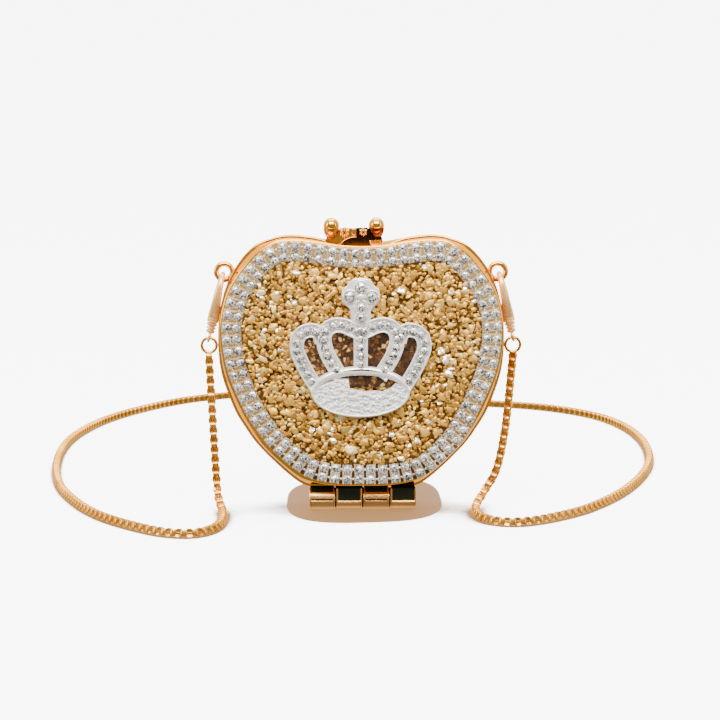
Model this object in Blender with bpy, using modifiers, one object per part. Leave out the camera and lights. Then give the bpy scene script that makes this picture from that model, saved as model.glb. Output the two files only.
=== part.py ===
"""Evening clutch: a heart-shaped hard case in two halves, hinged at the foot and closed by a kiss lock.

The case stands on its hinge. X runs across it, Y runs from the front to the back and Z points up.
The origin is on the ground, under the middle of the case and its crown. Each half is a pressed shell
in a polished frame, faced with a field of crushed stone inside a double row of set stones. The front
half carries a crown and turns on the hinge pin. A lobster claw on each side hooks the chain to a loop.
"""
import math

import bmesh
import bpy
import numpy as np
from mathutils import Matrix, Vector
from mathutils.geometry import delaunay_2d_cdt

OBJECT_NAME = "evening_clutch"

# Case
CASE_WIDTH = 0.1295
CASE_HEIGHT = 0.1148
WALL_DEPTH = 0.0130
WALL = 0.0009
EDGE_ROUND = 0.0009
SHELL_INSET = 0.0009
OUTLINE_STEPS = 60

# Clearances
WELD_DISTANCE = 0.000002
CLEAR = 0.0003
SEAM_GAP = 0.00015
OVERRUN = 0.0010

# Frame round each half at the seam
BEAD_DEPTH = 0.00175
BEAD_ROUND = 0.0005
FLANGE_REACH = 0.0030
FLANGE_THICKNESS = 0.0009

# Lining
LINING_THICKNESS = 0.0008
LINING_GAP = 0.0005
LINING_LIP = 0.0008
LINING_STEPS = 40

# Stone border and stone field
BORDER_PAIRS = 66
BORDER_FINENESS = 20
BORDER_INSET = 0.0010
BORDER_SIDESTEP = 0.0014
BORDER_SIDESTEP_SHARE = 0.32
BORDER_WIDTH = 0.0088
BORDER_BASE = 0.0008
BORDER_STONE_RISE = 0.0012
BORDER_STONE_MARGIN = 0.0009
FIELD_EDGE = 0.0017
FIELD_CROWN = 0.0027
FIELD_SHOULDER = 0.0085
CHIP_SPACING = 0.0044
CHIP_RELIEF = 0.0011
CHIP_JITTER_SHARE = 0.30
CHIP_EDGE_SHARE = 0.45
CHIP_SEED = 7

# Crown
CROWN_WIDTH = 0.0633
CROWN_HEIGHT = 0.0634
CROWN_MIDDLE_SHARE = 0.5753
CROWN_SIDESTEP = -0.0007
CROWN_PLATE = 0.0024
CROWN_EDGE = 0.0005
CROWN_BAND_BULGE = 0.0032
CROWN_FINIAL_PLATE = 0.0030

# Hinge
PIN_Z = 0.0050
PIN_RADIUS = 0.0012
PIN_CLEAR = 0.0003
BARREL_RADIUS = 0.0053
KNUCKLE_COUNT = 4
KNUCKLE_GAP = 0.0008
HINGE_LENGTH = 0.0486
HINGE_SIDESTEP = 0.0006
HINGE_TAB_REACH = 0.0062
HINGE_TAB_THICKNESS = 0.0016
BOX_FRONT = 0.00515
BOX_FLAT_DROP = 0.0018
BOX_FLOOR_GAP = 0.0001
GROOVE_WIDTH = 0.0007
GROOVE_DEPTH = 0.0005
GROOVE_DROP = 0.0010
GROOVE_MARGIN = 0.0012
INLAY_HEIGHT = 0.0052
INLAY_DROP = 0.0011
INLAY_MARGIN = 0.0010
INLAY_DEPTH = 0.0014
INLAY_SINK = 0.0002

# Kiss lock: the rises are heights above the notch in the case's top
ARM_THICKNESS = 0.0022
ARM_SEAM_GAP = 0.0004
ARM_TOP_RISE = 0.0093
ARM_UNDER_RISE = 0.0047
ARM_FOOT_TOP_RISE = 0.0042
ARM_FOOT_SINK = 0.0009
ARM_FOOT_SLOPE = 0.0030
BACKING_SHOULDER = 0.0048
BACKING_REACH = 0.0076
ARM_EDGE = 0.0004
ARM_FOOT_REACH = 0.0031
ARM_BALL_GAP = 0.0004
FRONT_ARM_END_X = -0.0022
BACK_ARM_END_X = -0.0032
BALL_RADIUS = 0.0033
BALL_CENTRE_RISE = 0.0104
BALL_NECK_RADIUS = 0.0015
BOWL_RADIUS = 0.0028
BOWL_HEIGHT = 0.0021
FRONT_BALL_X = -0.0135
BACK_BALL_X = 0.0069
ROSETTE_RISE = 0.0073
ROSETTE_THICKNESS = 0.0013
FRONT_ROSETTE_X = -0.0076
FRONT_ROSETTE_RADIUS = 0.0026
BACK_ROSETTE_X = 0.0009
BACK_ROSETTE_RADIUS = 0.0021
ROSETTE_PETALS = 6
PETAL_NOTCH_SHARE = 0.22

# Strap loops on the frame
LOOP_HEIGHT_SHARE = 0.8545
LOOP_EDGE_SHARE = 0.8950
LOOP_STAND = 0.0039
LOOP_RADIUS = 0.0036
LOOP_WIRE = 0.0009
LOOP_BACK = 0.0011

# Lobster claws: lengths run down from the top of the bow
CLAW_LEAN_SHARE = 0.8250
CLAW_SHIFT = 0.0004
CLAW_LENGTH = 0.0249
CLAW_HALF_BREADTH = 0.0049
CLAW_WIRE = 0.0012
CHEEK_HALF_THICKNESS = 0.0019
CHEEK_RADIUS = 0.0036
CHEEK_DROP = 0.0174
COLLAR_RADIUS = 0.0021
COLLAR_HEIGHT = 0.0022
GATE_THICKNESS = 0.0011
GATE_PIVOT_BACK = 0.0024
GATE_PIVOT_DROP = 0.0169
GATE_PIN_RADIUS = 0.0005
GATE_PIN_CLEAR = 0.0002
PIN_REACH_SHARE = 0.80
SWIVEL_STEM_RADIUS = 0.0010
SWIVEL_EYE_DROP = 0.0303
SWIVEL_EYE_RADIUS = 0.0019
SWIVEL_EYE_WIRE = 0.00065

# Jump rings and chain
JUMP_RING_RADIUS = 0.00335
JUMP_RING_WIRE = 0.00045
CHAIN_DIAMETER = 0.0040
CHAIN_POINTS = 80
CHAIN_BEND_SPACING = 0.0500
CHAIN_FLOOR_GAP = 0.0001
CHAIN_END_GAP = 0.0003

# Half of the case outline, from the foot to the notch, as shares of the half width and of the
# height: first where the edge is at the seam, then where it is on the face
CASE_OUTLINE_SHARES = (
    (0.0, 0.0, 0.0, 0.021), (0.20, 0.0, 0.17, 0.022), (0.37, 0.0, 0.34, 0.038),
    (0.50, 0.042, 0.46, 0.068), (0.708, 0.155, 0.648, 0.161), (0.819, 0.240, 0.750, 0.239),
    (0.902, 0.325, 0.838, 0.328), (0.985, 0.470, 0.940, 0.471), (1.0, 0.626, 0.981, 0.626),
    (0.963, 0.763, 0.944, 0.757), (0.878, 0.872, 0.862, 0.846), (0.75, 0.955, 0.735, 0.931),
    (0.61, 0.990, 0.610, 0.979), (0.50, 1.0, 0.50, 0.990), (0.39, 0.996, 0.39, 0.987),
    (0.28, 0.985, 0.28, 0.979), (0.15, 0.957, 0.15, 0.968), (0.0, 0.946, 0.0, 0.964),
)

# Crown outlines: shares of the crown's half width and height, right half from the foot to the top
CROWN_ARCH_SHARES = (
    (0.0, 0.20), (0.60, 0.20), (0.704, 0.257), (0.868, 0.354), (0.975, 0.43), (1.0, 0.504),
    (0.953, 0.582), (0.84, 0.646), (0.711, 0.684), (0.605, 0.676), (0.512, 0.711), (0.356, 0.723),
    (0.213, 0.714), (0.125, 0.689), (0.107, 0.655),
)
CROWN_OUTER_WINDOW_SHARES = (
    (0.744, 0.569), (0.669, 0.561), (0.626, 0.486), (0.509, 0.326), (0.57, 0.323), (0.785, 0.464),
    (0.805, 0.534),
)
CROWN_INNER_WINDOW_SHARES = (
    (0.42, 0.582), (0.309, 0.606), (0.129, 0.561), (0.129, 0.395), (0.199, 0.378), (0.253, 0.395),
    (0.391, 0.52),
)
CROWN_FINIAL_SHARES = (
    (0.0, 0.663), (0.10, 0.663), (0.107, 0.700), (0.142, 0.755), (0.213, 0.784), (0.268, 0.832),
    (0.277, 0.908), (0.181, 0.948), (0.142, 1.0), (0.0, 1.0),
)
CROWN_BASE_HALF_WIDTH_SHARE = 0.703
CROWN_BASE_HALF_HEIGHT_SHARE = 0.184
CROWN_BASE_WINDOW_SHARES = (
    (-0.12, 0.66), (0.05, 0.71), (0.28, 0.68), (0.47, 0.55), (0.62, 0.33), (0.60, 0.17),
    (0.20, 0.22), (-0.12, 0.26),
)
CROWN_BASE_SWELL_SHARES = ((1.0, 0.0), (1.0, 0.45), (0.93, 0.80), (0.78, 1.0))
CROWN_BASE_STEPS = 36

# Claw hook: shares of the half breadth, of the length, and of the wire radius
CLAW_HOOK_SHARES = (
    (0.72, -0.188, 0.80), (0.42, -0.080, 0.90), (0.0, -0.050, 1.0), (-0.54, -0.092, 1.05),
    (-0.90, -0.205, 1.10), (-1.0, -0.375, 1.15), (-0.88, -0.54, 1.25), (-0.50, -0.70, 1.45),
    (-0.12, -0.83, 1.60), (0.0, -0.93, 1.60),
)
# Gate outline: shares of the half breadth and of the length
CLAW_GATE_SHARES = (
    (0.67, -0.236), (0.90, -0.248), (1.02, -0.354), (0.98, -0.50), (1.31, -0.583), (1.35, -0.65),
    (1.02, -0.683), (0.80, -0.725), (0.49, -0.746), (0.245, -0.717), (0.184, -0.667),
    (0.327, -0.60), (0.57, -0.525), (0.71, -0.375),
)

# The chain's route from each jump ring over the ground, as places read off the photograph: how far
# outward of the ring's middle, how far behind it, and the share of the height of the chain's end
CHAIN_LEFT_ROUTE = (
    (0.0002, 0.0000, 1.0), (-0.0024, -0.0017, 0.278), (-0.0038, -0.0059, 0.066),
    (-0.0063, -0.0165, 0.0), (-0.0070, -0.0356, 0.0), (-0.0042, -0.0510, 0.0),
    (0.0029, -0.0602, 0.0), (0.0124, -0.0602, 0.0), (0.0228, -0.0534, 0.0),
    (0.0377, -0.0376, 0.0), (0.0505, -0.0194, 0.0), (0.0625, 0.0059, 0.0),
    (0.0752, 0.0442, 0.0), (0.0844, 0.0944, 0.0), (0.0887, 0.1505, 0.0), (0.0860, 0.1984, 0.0),
    (0.0755, 0.2462, 0.0), (0.0571, 0.2874, 0.0), (0.0324, 0.3223, 0.0), (-0.0021, 0.3446, 0.0),
    (-0.0411, 0.3458, 0.0),
)
CHAIN_RIGHT_ROUTE = (
    (-0.0469, 0.3288, 0.0), (0.0077, 0.3056, 0.0), (0.0482, 0.2858, 0.0), (0.0743, 0.2554, 0.0),
    (0.0868, 0.2159, 0.0), (0.0898, 0.1659, 0.0), (0.0841, 0.1120, 0.0), (0.0722, 0.0662, 0.0),
    (0.0547, 0.0226, 0.0), (0.0345, -0.0115, 0.0), (0.0171, -0.0302, 0.0),
    (0.0024, -0.0403, 0.0), (-0.0096, -0.0396, 0.0), (-0.0168, -0.0279, 0.0),
    (-0.0173, -0.0118, 0.01), (-0.0128, -0.0034, 0.084), (-0.0068, -0.0009, 0.233),
    (-0.0028, -0.0001, 0.527), (0.0002, 0.0000, 1.0),
)

# Worked-out sizes
HALF_WIDTH = CASE_WIDTH / 2
CASE_BOTTOM_Z = PIN_Z + BARREL_RADIUS + CLEAR
NOTCH_Z = CASE_BOTTOM_Z + CASE_OUTLINE_SHARES[-1][1] * CASE_HEIGHT
CROWN_BOTTOM_Z = CASE_BOTTOM_Z + CROWN_MIDDLE_SHARE * CASE_HEIGHT - CROWN_HEIGHT / 2
ARM_TOP_Z = NOTCH_Z + ARM_TOP_RISE
ARM_UNDER_Z = NOTCH_Z + ARM_UNDER_RISE
ARM_FOOT_TOP_Z = NOTCH_Z + ARM_FOOT_TOP_RISE
ARM_FOOT_DEEP_Z = NOTCH_Z - ARM_FOOT_SINK
BALL_CENTRE_Z = NOTCH_Z + BALL_CENTRE_RISE
ROSETTE_Z = NOTCH_Z + ROSETTE_RISE
LOOP_X = LOOP_EDGE_SHARE * HALF_WIDTH + LOOP_STAND
LOOP_Z = CASE_BOTTOM_Z + LOOP_HEIGHT_SHARE * CASE_HEIGHT
CLAW_TOP_X = LOOP_X + CLAW_SHIFT
CLAW_TILT = math.atan(CLAW_LEAN_SHARE * (1 - LOOP_EDGE_SHARE) * HALF_WIDTH / CLAW_LENGTH)
SHELL_START = SEAM_GAP + BEAD_DEPTH + CLEAR
PLATE_BACK = WALL_DEPTH + CLEAR
BORDER_INNER = BORDER_INSET + BORDER_WIDTH
FIELD_INSET = BORDER_INNER + CLEAR
BACK_REACH = PLATE_BACK + FIELD_CROWN
CROWN_BACK = BACK_REACH + CLEAR
FRONT_REACH = CROWN_BACK + CROWN_BAND_BULGE
SEAM_Y = (FRONT_REACH - BACK_REACH) / 2
KNUCKLE_LENGTH = (HINGE_LENGTH - KNUCKLE_GAP * (KNUCKLE_COUNT - 1)) / KNUCKLE_COUNT
STRAP_Y = SEAM_Y + LOOP_BACK
CLAW_TOP_Z = LOOP_Z - LOOP_RADIUS + LOOP_WIRE + CLEAR + 2 * CLAW_WIRE
JUMP_RING_TOP_DROP = SWIVEL_EYE_DROP + SWIVEL_EYE_RADIUS - SWIVEL_EYE_WIRE - CLEAR - JUMP_RING_WIRE
FRONT = -1
BACK = 1
LEFT = -1
RIGHT = 1


# Scene and materials

def clear_scene():
    """Remove everything that a new file starts with."""
    for obj in list(bpy.data.objects):
        bpy.data.objects.remove(obj, do_unlink=True)


def add_collection(name):
    collection = bpy.data.collections.new(name)
    bpy.context.scene.collection.children.link(collection)
    return collection


def make_material(name, colour, roughness, metallic):
    material = bpy.data.materials.new(name)
    material.use_nodes = True
    shader = material.node_tree.nodes["Principled BSDF"]
    shader.inputs["Base Color"].default_value = (*colour, 1.0)
    shader.inputs["Roughness"].default_value = roughness
    shader.inputs["Metallic"].default_value = metallic
    material.diffuse_color = (*colour, 1.0)
    return material


clear_scene()
PARTS = add_collection(OBJECT_NAME)
CUTTERS = add_collection("cutters")
GOLD = make_material("polished_gold", (0.83, 0.55, 0.25), 0.16, 1.0)
ROSE_GOLD = make_material("rose_gold", (0.80, 0.50, 0.33), 0.22, 1.0)
CHIPS = make_material("stone_chips", (0.72, 0.50, 0.20), 0.35, 0.6)
STONES = make_material("clear_stones", (0.86, 0.86, 0.88), 0.08, 0.5)
SILVER = make_material("crown_silver", (0.86, 0.86, 0.88), 0.20, 1.0)
LINING = make_material("lining_fabric", (0.16, 0.12, 0.10), 0.90, 0.0)
INLAY = make_material("dark_inlay", (0.02, 0.04, 0.03), 0.15, 0.0)


# Object helpers

def add_object(name, data, collection=None):
    obj = bpy.data.objects.new(name, data)
    (collection or PARTS).objects.link(obj)
    return obj


def mesh_from(bm, name):
    """Store a bmesh, with its faces turned outwards."""
    bmesh.ops.recalc_face_normals(bm, faces=bm.faces)
    mesh = bpy.data.meshes.new(name)
    bm.to_mesh(mesh)
    bm.free()
    return mesh


def finish(obj, material, smooth_degrees=35):
    """Give an object its material and its shading."""
    obj.data.materials.clear()
    obj.data.materials.append(material)
    obj.data.shade_smooth()
    obj.data.set_sharp_from_angle(angle=math.radians(smooth_degrees))
    return obj


def as_mesh(obj, name):
    """Turn a curve object, or one with modifiers, into a welded mesh object in the same place."""
    depsgraph = bpy.context.evaluated_depsgraph_get()
    mesh = bpy.data.meshes.new_from_object(obj.evaluated_get(depsgraph))
    bm = bmesh.new()
    bm.from_mesh(mesh)
    bmesh.ops.remove_doubles(bm, verts=bm.verts, dist=WELD_DISTANCE)
    bmesh.ops.recalc_face_normals(bm, faces=bm.faces)
    bm.to_mesh(mesh)
    bm.free()
    place = obj.matrix_world.copy()
    bpy.data.objects.remove(obj, do_unlink=True)
    made = add_object(name, mesh)
    made.matrix_world = place
    return made


def add_bevel(obj, width, segments=1, degrees=40):
    bevel = obj.modifiers.new("edges", "BEVEL")
    bevel.width = width
    bevel.segments = segments
    bevel.limit_method = "ANGLE"
    bevel.angle_limit = math.radians(degrees)
    return obj


def hide_cutter(cutter):
    for collection in list(cutter.users_collection):
        collection.objects.unlink(cutter)
    CUTTERS.objects.link(cutter)
    cutter.hide_render = True
    cutter.display_type = "WIRE"
    return cutter


def boolean(obj, other, operation="DIFFERENCE"):
    """Cut obj by other, or join them, with the exact solver."""
    hide_cutter(other)
    modifier = obj.modifiers.new(operation.lower(), "BOOLEAN")
    modifier.operation = operation
    modifier.solver = "EXACT"
    modifier.object = other
    return obj


def add_box(name, low, high, collection=None):
    bm = bmesh.new()
    bmesh.ops.create_cube(bm, size=1.0)
    low, high = Vector(low), Vector(high)
    size = high - low
    bmesh.ops.scale(bm, vec=size, verts=bm.verts)
    bmesh.ops.translate(bm, vec=(low + high) / 2, verts=bm.verts)
    return add_object(name, mesh_from(bm, name), collection)


def add_cylinder(name, start, end, radius, segments=24, collection=None):
    """A closed cylinder between two points."""
    start, end = Vector(start), Vector(end)
    axis = end - start
    bm = bmesh.new()
    bmesh.ops.create_cone(
        bm, cap_ends=True, segments=segments, radius1=radius, radius2=radius, depth=axis.length
    )
    turn = axis.to_track_quat("Z", "Y").to_matrix().to_4x4()
    bmesh.ops.transform(bm, matrix=Matrix.Translation((start + end) / 2) @ turn, verts=bm.verts)
    return add_object(name, mesh_from(bm, name), collection)


def add_plate(name, outline, middle_y, thickness, holes=()):
    """A flat outline in X and Z, as thick as asked, standing across Y at middle_y."""
    curve = bpy.data.curves.new(name, "CURVE")
    curve.dimensions = "2D"
    curve.fill_mode = "BOTH"
    curve.extrude = thickness / 2
    for loop in (outline, *holes):
        spline = curve.splines.new("POLY")
        spline.points.add(len(loop) - 1)
        spline.points.foreach_set("co", np.array([(x, z, 0.0, 1.0) for x, z in loop]).ravel())
        spline.use_cyclic_u = True
    obj = add_object(name + "_curve", curve)
    obj.rotation_euler = (math.radians(90), 0.0, 0.0)
    obj.location = (0.0, middle_y, 0.0)
    bpy.context.view_layer.update()
    return as_mesh(obj, name)


def add_section(name, section, start_x, end_x):
    """A section drawn in Y and Z, carried along X from start_x to end_x."""
    curve = bpy.data.curves.new(name, "CURVE")
    curve.dimensions = "2D"
    curve.fill_mode = "BOTH"
    curve.extrude = (end_x - start_x) / 2
    spline = curve.splines.new("POLY")
    spline.points.add(len(section) - 1)
    spline.points.foreach_set("co", np.array([(y, z, 0.0, 1.0) for y, z in section]).ravel())
    spline.use_cyclic_u = True
    obj = add_object(name + "_curve", curve)
    obj.rotation_euler = (math.radians(90), 0.0, math.radians(90))
    obj.location = ((start_x + end_x) / 2, 0.0, 0.0)
    bpy.context.view_layer.update()
    return as_mesh(obj, name)


def add_turned(name, profile, centre, steps=20):
    """A profile of (radius, height), from the top to the bottom, turned about the vertical."""
    bm = bmesh.new()
    verts = [bm.verts.new((radius, 0.0, height)) for radius, height in profile]
    for first, second in zip(verts, verts[1:]):
        bm.edges.new((first, second))
    mesh = bpy.data.meshes.new(name)
    bm.to_mesh(mesh)
    bm.free()
    obj = add_object(name, mesh)
    obj.location = centre
    screw = obj.modifiers.new("turn", "SCREW")
    screw.steps = steps
    screw.render_steps = steps
    screw.use_merge_vertices = True
    screw.merge_threshold = WELD_DISTANCE
    bpy.context.view_layer.update()
    return as_mesh(obj, name)


def add_ring(name, centre, radius, wire, axis="Y", steps=18, sides=8):
    """A round ring of round wire: a torus whose hole runs along the axis."""
    phi = np.arange(steps) * 2 * math.pi / steps
    theta = np.arange(sides) * 2 * math.pi / sides
    reach = radius + wire * np.cos(theta)[None, :]
    first = reach * np.cos(phi)[:, None]
    second = reach * np.sin(phi)[:, None]
    third = np.broadcast_to(wire * np.sin(theta)[None, :], first.shape)
    order = {"Y": (first, third, second), "X": (third, first, second)}[axis]
    points = np.stack(order, axis=-1) + np.array(centre)
    return add_object(name, loft(name, points, closed=True))


# Lofts

def loft_bmesh(rings, closed=False, cap_first=False, cap_last=False):
    """Join rings of equally many points with quads. A closed loft joins its last ring to the first."""
    bm = bmesh.new()
    rows = [[bm.verts.new(tuple(point)) for point in ring] for ring in rings]
    pairs = list(zip(rows, rows[1:]))
    if closed:
        pairs.append((rows[-1], rows[0]))
    for first, second in pairs:
        count = len(first)
        for index in range(count):
            following = (index + 1) % count
            bm.faces.new((first[index], first[following], second[following], second[index]))
    if cap_first:
        bm.faces.new(rows[0])
    if cap_last:
        bm.faces.new(rows[-1])
    return bm


def loft(name, rings, closed=False, cap_first=False, cap_last=False):
    return mesh_from(loft_bmesh(rings, closed, cap_first, cap_last), name)


def add_tray(name, rings, side, thickness):
    """An open tray whose outer face the rings give, from its lip to its floor, of one sheet."""
    bm = loft_bmesh(rings, cap_last=True)
    if side == BACK:
        bmesh.ops.reverse_faces(bm, faces=bm.faces)
    mesh = bpy.data.meshes.new(name)
    bm.to_mesh(mesh)
    bm.free()
    obj = add_object(name, mesh)
    solidify = obj.modifiers.new("sheet", "SOLIDIFY")
    solidify.thickness = thickness
    solidify.offset = -1.0
    solidify.use_even_offset = True
    return obj


def smooth_closed(points, samples):
    """A closed curve through the points, sampled at equal steps along its length."""
    points = np.array(points)
    before = np.roll(points, 1, axis=0)
    after = np.roll(points, -1, axis=0)
    beyond = np.roll(points, -2, axis=0)
    t = np.linspace(0.0, 1.0, 24, endpoint=False)[None, :, None]
    p0, p1, p2, p3 = (array[:, None, :] for array in (before, points, after, beyond))
    dense = 0.5 * (
        2 * p1 + (p2 - p0) * t + (2 * p0 - 5 * p1 + 4 * p2 - p3) * t**2
        + (3 * p1 - p0 - 3 * p2 + p3) * t**3
    )
    dense = dense.reshape(-1, points.shape[1])
    loop = np.vstack([dense, dense[:1]])
    along = np.concatenate([[0.0], np.cumsum(np.linalg.norm(np.diff(loop, axis=0), axis=1))])
    places = np.linspace(0.0, along[-1], samples, endpoint=False)
    return np.stack([np.interp(places, along, loop[:, axis]) for axis in range(points.shape[1])], axis=1)


def case_outline(inset, steps=OUTLINE_STEPS, face_share=0.0):
    """The case's outline in X and Z, drawn in by inset along its normals. It is the seam's outline
    at a face share of 0 and the face's at 1, and lies between them in the wall."""
    shares = np.array(CASE_OUTLINE_SHARES)
    shares = np.vstack([shares, shares[-2:0:-1] * (-1, 1, -1, 1)])
    both = smooth_closed(shares * (HALF_WIDTH, CASE_HEIGHT, HALF_WIDTH, CASE_HEIGHT), steps)
    points = both[:, :2] * (1 - face_share) + both[:, 2:] * face_share
    points[:, 1] = np.maximum(points[:, 1], 0.0)
    along = np.roll(points, -1, axis=0) - np.roll(points, 1, axis=0)
    along /= np.linalg.norm(along, axis=1)[:, None]
    inward = np.stack([-along[:, 1], along[:, 0]], axis=1)
    points = points + inward * inset
    points[:, 1] += CASE_BOTTOM_Z
    return points


def case_ring(side, inset, depth, steps=OUTLINE_STEPS):
    """The outline at a depth from the seam: the wall runs from the seam's outline to the face's."""
    wall_depth = min(max(depth, SHELL_START), WALL_DEPTH) - SHELL_START
    outline = case_outline(inset, steps, wall_depth / (WALL_DEPTH - SHELL_START))
    ring = np.empty((steps, 3))
    ring[:, 0] = outline[:, 0]
    ring[:, 1] = SEAM_Y + side * depth
    ring[:, 2] = outline[:, 1]
    return ring


def border_ring(side, inset, depth):
    """A ring of the stone border, with its corners at equal steps along the border's middle. The
    border was laid by hand: towards the foot it lies to one side."""
    dense = BORDER_PAIRS * BORDER_FINENESS
    middle = case_ring(side, BORDER_INSET + BORDER_WIDTH / 2, depth, dense)
    lengths = np.linalg.norm(np.roll(middle, -1, axis=0) - middle, axis=1)
    along = np.cumsum(lengths) - lengths
    picked = np.searchsorted(along, np.arange(BORDER_PAIRS) * lengths.sum() / BORDER_PAIRS)
    ring = case_ring(side, inset, depth, dense)[picked]
    height_share = (ring[:, 2] - CASE_BOTTOM_Z) / CASE_HEIGHT
    lean = np.maximum(1 - (height_share / BORDER_SIDESTEP_SHARE) ** 2, 0.0)
    ring[:, 0] += BORDER_SIDESTEP * lean
    return ring


def grown_outline_cutter(name):
    """What the frames fill, grown by the clearance: fittings on the edge are cut back to it."""
    outline = case_outline(-CLEAR)
    reach = SHELL_START + FLANGE_REACH
    cutter = add_plate(name, outline, SEAM_Y, 2 * reach)
    return hide_cutter(cutter)


# Case halves

def add_frame(name, side):
    """The polished frame: a rounded bead at the seam with a flange that the shell fits over."""
    start = SEAM_GAP
    bead_end = start + BEAD_DEPTH
    flange_inset = SHELL_INSET + WALL + CLEAR
    flange_end = bead_end + FLANGE_REACH
    profile = (
        (BEAD_ROUND, start),
        (0.0, start + BEAD_ROUND),
        (0.0, bead_end - BEAD_ROUND),
        (BEAD_ROUND, bead_end),
        (flange_inset, bead_end),
        (flange_inset, flange_end),
        (flange_inset + FLANGE_THICKNESS, flange_end),
        (flange_inset + FLANGE_THICKNESS, start),
    )
    rings = [case_ring(side, inset, depth) for inset, depth in profile]
    return finish(add_object(name, loft(name, rings, closed=True)), GOLD)


def add_shell(name, side):
    """The pressed half: a drafted wall, a rounded edge and a flat face, all of one sheet."""
    wall_end = WALL_DEPTH - EDGE_ROUND
    lean = EDGE_ROUND * (1 - math.sqrt(0.5))
    rings = [
        case_ring(side, SHELL_INSET, SHELL_START),
        case_ring(side, 0.0, wall_end),
        case_ring(side, lean, WALL_DEPTH - lean),
        case_ring(side, EDGE_ROUND, WALL_DEPTH),
    ]
    return finish(add_tray(name, rings, side, WALL), GOLD)


def add_lining(name, side):
    """The fabric-covered tray that lines a half."""
    inset = SHELL_INSET + WALL + CLEAR + FLANGE_THICKNESS + LINING_GAP
    floor = WALL_DEPTH - WALL - LINING_GAP
    steps = LINING_STEPS
    corner = LINING_THICKNESS + LINING_GAP
    rings = [
        case_ring(side, inset, LINING_LIP, steps),
        case_ring(side, inset, floor - corner, steps),
        case_ring(side, inset + corner, floor, steps),
    ]
    return finish(add_tray(name, rings, side, LINING_THICKNESS), LINING)


def add_stone_border(name, side):
    """Two rows of set stones on one band: each cell of the band rises to a stone's flat top."""
    top = PLATE_BACK + BORDER_BASE
    middle = BORDER_INSET + BORDER_WIDTH / 2
    rings = [
        border_ring(side, BORDER_INSET, PLATE_BACK),
        border_ring(side, BORDER_INSET, top),
        border_ring(side, middle, top),
        border_ring(side, BORDER_INNER, top),
        border_ring(side, BORDER_INNER, PLATE_BACK),
    ]
    mesh = loft(name, rings, closed=True)
    bm = bmesh.new()
    bm.from_mesh(mesh)
    top_y = SEAM_Y + side * top
    cells = [face for face in bm.faces if all(abs(v.co.y - top_y) < WELD_DISTANCE for v in face.verts)]
    bmesh.ops.inset_individual(
        bm, faces=cells, thickness=BORDER_STONE_MARGIN, depth=BORDER_STONE_RISE, use_even_offset=True
    )
    bm.to_mesh(mesh)
    bm.free()
    return finish(add_object(name, mesh), STONES, 20)


def chip_places(loop, side):
    """Places of the larger chips inside a loop in X and Z: a triangular grid, shaken a little."""
    rng = np.random.default_rng(CHIP_SEED + side)
    low, high = loop.min(axis=0), loop.max(axis=0)
    row_gap = CHIP_SPACING * math.sqrt(0.75)
    places = []
    for row, z in enumerate(np.arange(low[1], high[1], row_gap)):
        start = low[0] + (row % 2) * CHIP_SPACING / 2
        places += [(x, z) for x in np.arange(start, high[0], CHIP_SPACING)]
    reach = CHIP_SPACING * CHIP_JITTER_SHARE
    places = np.array(places) + rng.uniform(-reach, reach, (len(places), 2))
    after = np.roll(loop, -1, axis=0)
    x, z = places[:, :1], places[:, 1:]
    spans = (loop[None, :, 1] > z) != (after[None, :, 1] > z)
    rise = np.where(after[:, 1] == loop[:, 1], WELD_DISTANCE, after[:, 1] - loop[:, 1])
    crossings = (after[:, 0] - loop[:, 0]) * (z - loop[:, 1]) / rise + loop[:, 0]
    inside = np.sum(spans & (x < crossings), axis=1) % 2 == 1
    distances = np.sqrt(np.sum((places[:, None] - loop[None]) ** 2, axis=2)).min(axis=1)
    kept = inside & (distances > CHIP_SPACING * CHIP_EDGE_SHARE)
    sinks = rng.uniform(0.0, CHIP_RELIEF, len(places))
    return places[kept], distances[kept], sinks[kept]


def add_stone_field(name, side):
    """The field of crushed stone: a low dome inside the border, with the larger chips' relief."""
    foot = border_ring(side, FIELD_INSET, PLATE_BACK)
    loop = foot[:, [0, 2]]
    places, distances, sinks = chip_places(loop, side)
    shoulder = np.clip(distances / FIELD_SHOULDER, 0.0, 1.0)
    heights = FIELD_EDGE + (FIELD_CROWN - FIELD_EDGE) * shoulder * (2 - shoulder) - sinks
    count = len(loop)
    flat = [Vector(place) for place in np.vstack([loop, places])]
    edges = [(index, (index + 1) % count) for index in range(count)]
    _, _, triangles, *_ = delaunay_2d_cdt(flat, edges, [], 1, WELD_DISTANCE)
    bm = bmesh.new()
    bottom = [bm.verts.new(point) for point in foot]
    levels = np.concatenate([np.full(count, FIELD_EDGE), heights])
    tops = [
        bm.verts.new((place.x, SEAM_Y + side * (PLATE_BACK + level), place.y))
        for place, level in zip(flat, levels)
    ]
    for triangle in triangles:
        bm.faces.new([tops[index] for index in triangle])
    for first, second in edges:
        bm.faces.new((bottom[first], bottom[second], tops[second], tops[first]))
    bm.faces.new(bottom)
    bmesh.ops.recalc_face_normals(bm, faces=bm.faces)
    return finish(add_object(name, mesh_from(bm, name)), CHIPS, 20)


# Hinge

def knuckle_span(index):
    start = HINGE_SIDESTEP - HINGE_LENGTH / 2 + index * (KNUCKLE_LENGTH + KNUCKLE_GAP)
    return start, start + KNUCKLE_LENGTH


def arc(radius, start_degrees, end_degrees, count):
    """Points on a circle about the hinge pin, as (y, z), from one angle to the other."""
    angles = np.radians(np.linspace(start_degrees, end_degrees, count))
    return [(SEAM_Y + radius * math.cos(a), PIN_Z + radius * math.sin(a)) for a in angles]


def pin_bore(name):
    reach = HINGE_LENGTH / 2 + OVERRUN
    ends = [(HINGE_SIDESTEP + way * reach, SEAM_Y, PIN_Z) for way in (LEFT, RIGHT)]
    bore = add_cylinder(name, *ends, PIN_RADIUS + PIN_CLEAR, 20)
    return hide_cutter(bore)


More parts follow.
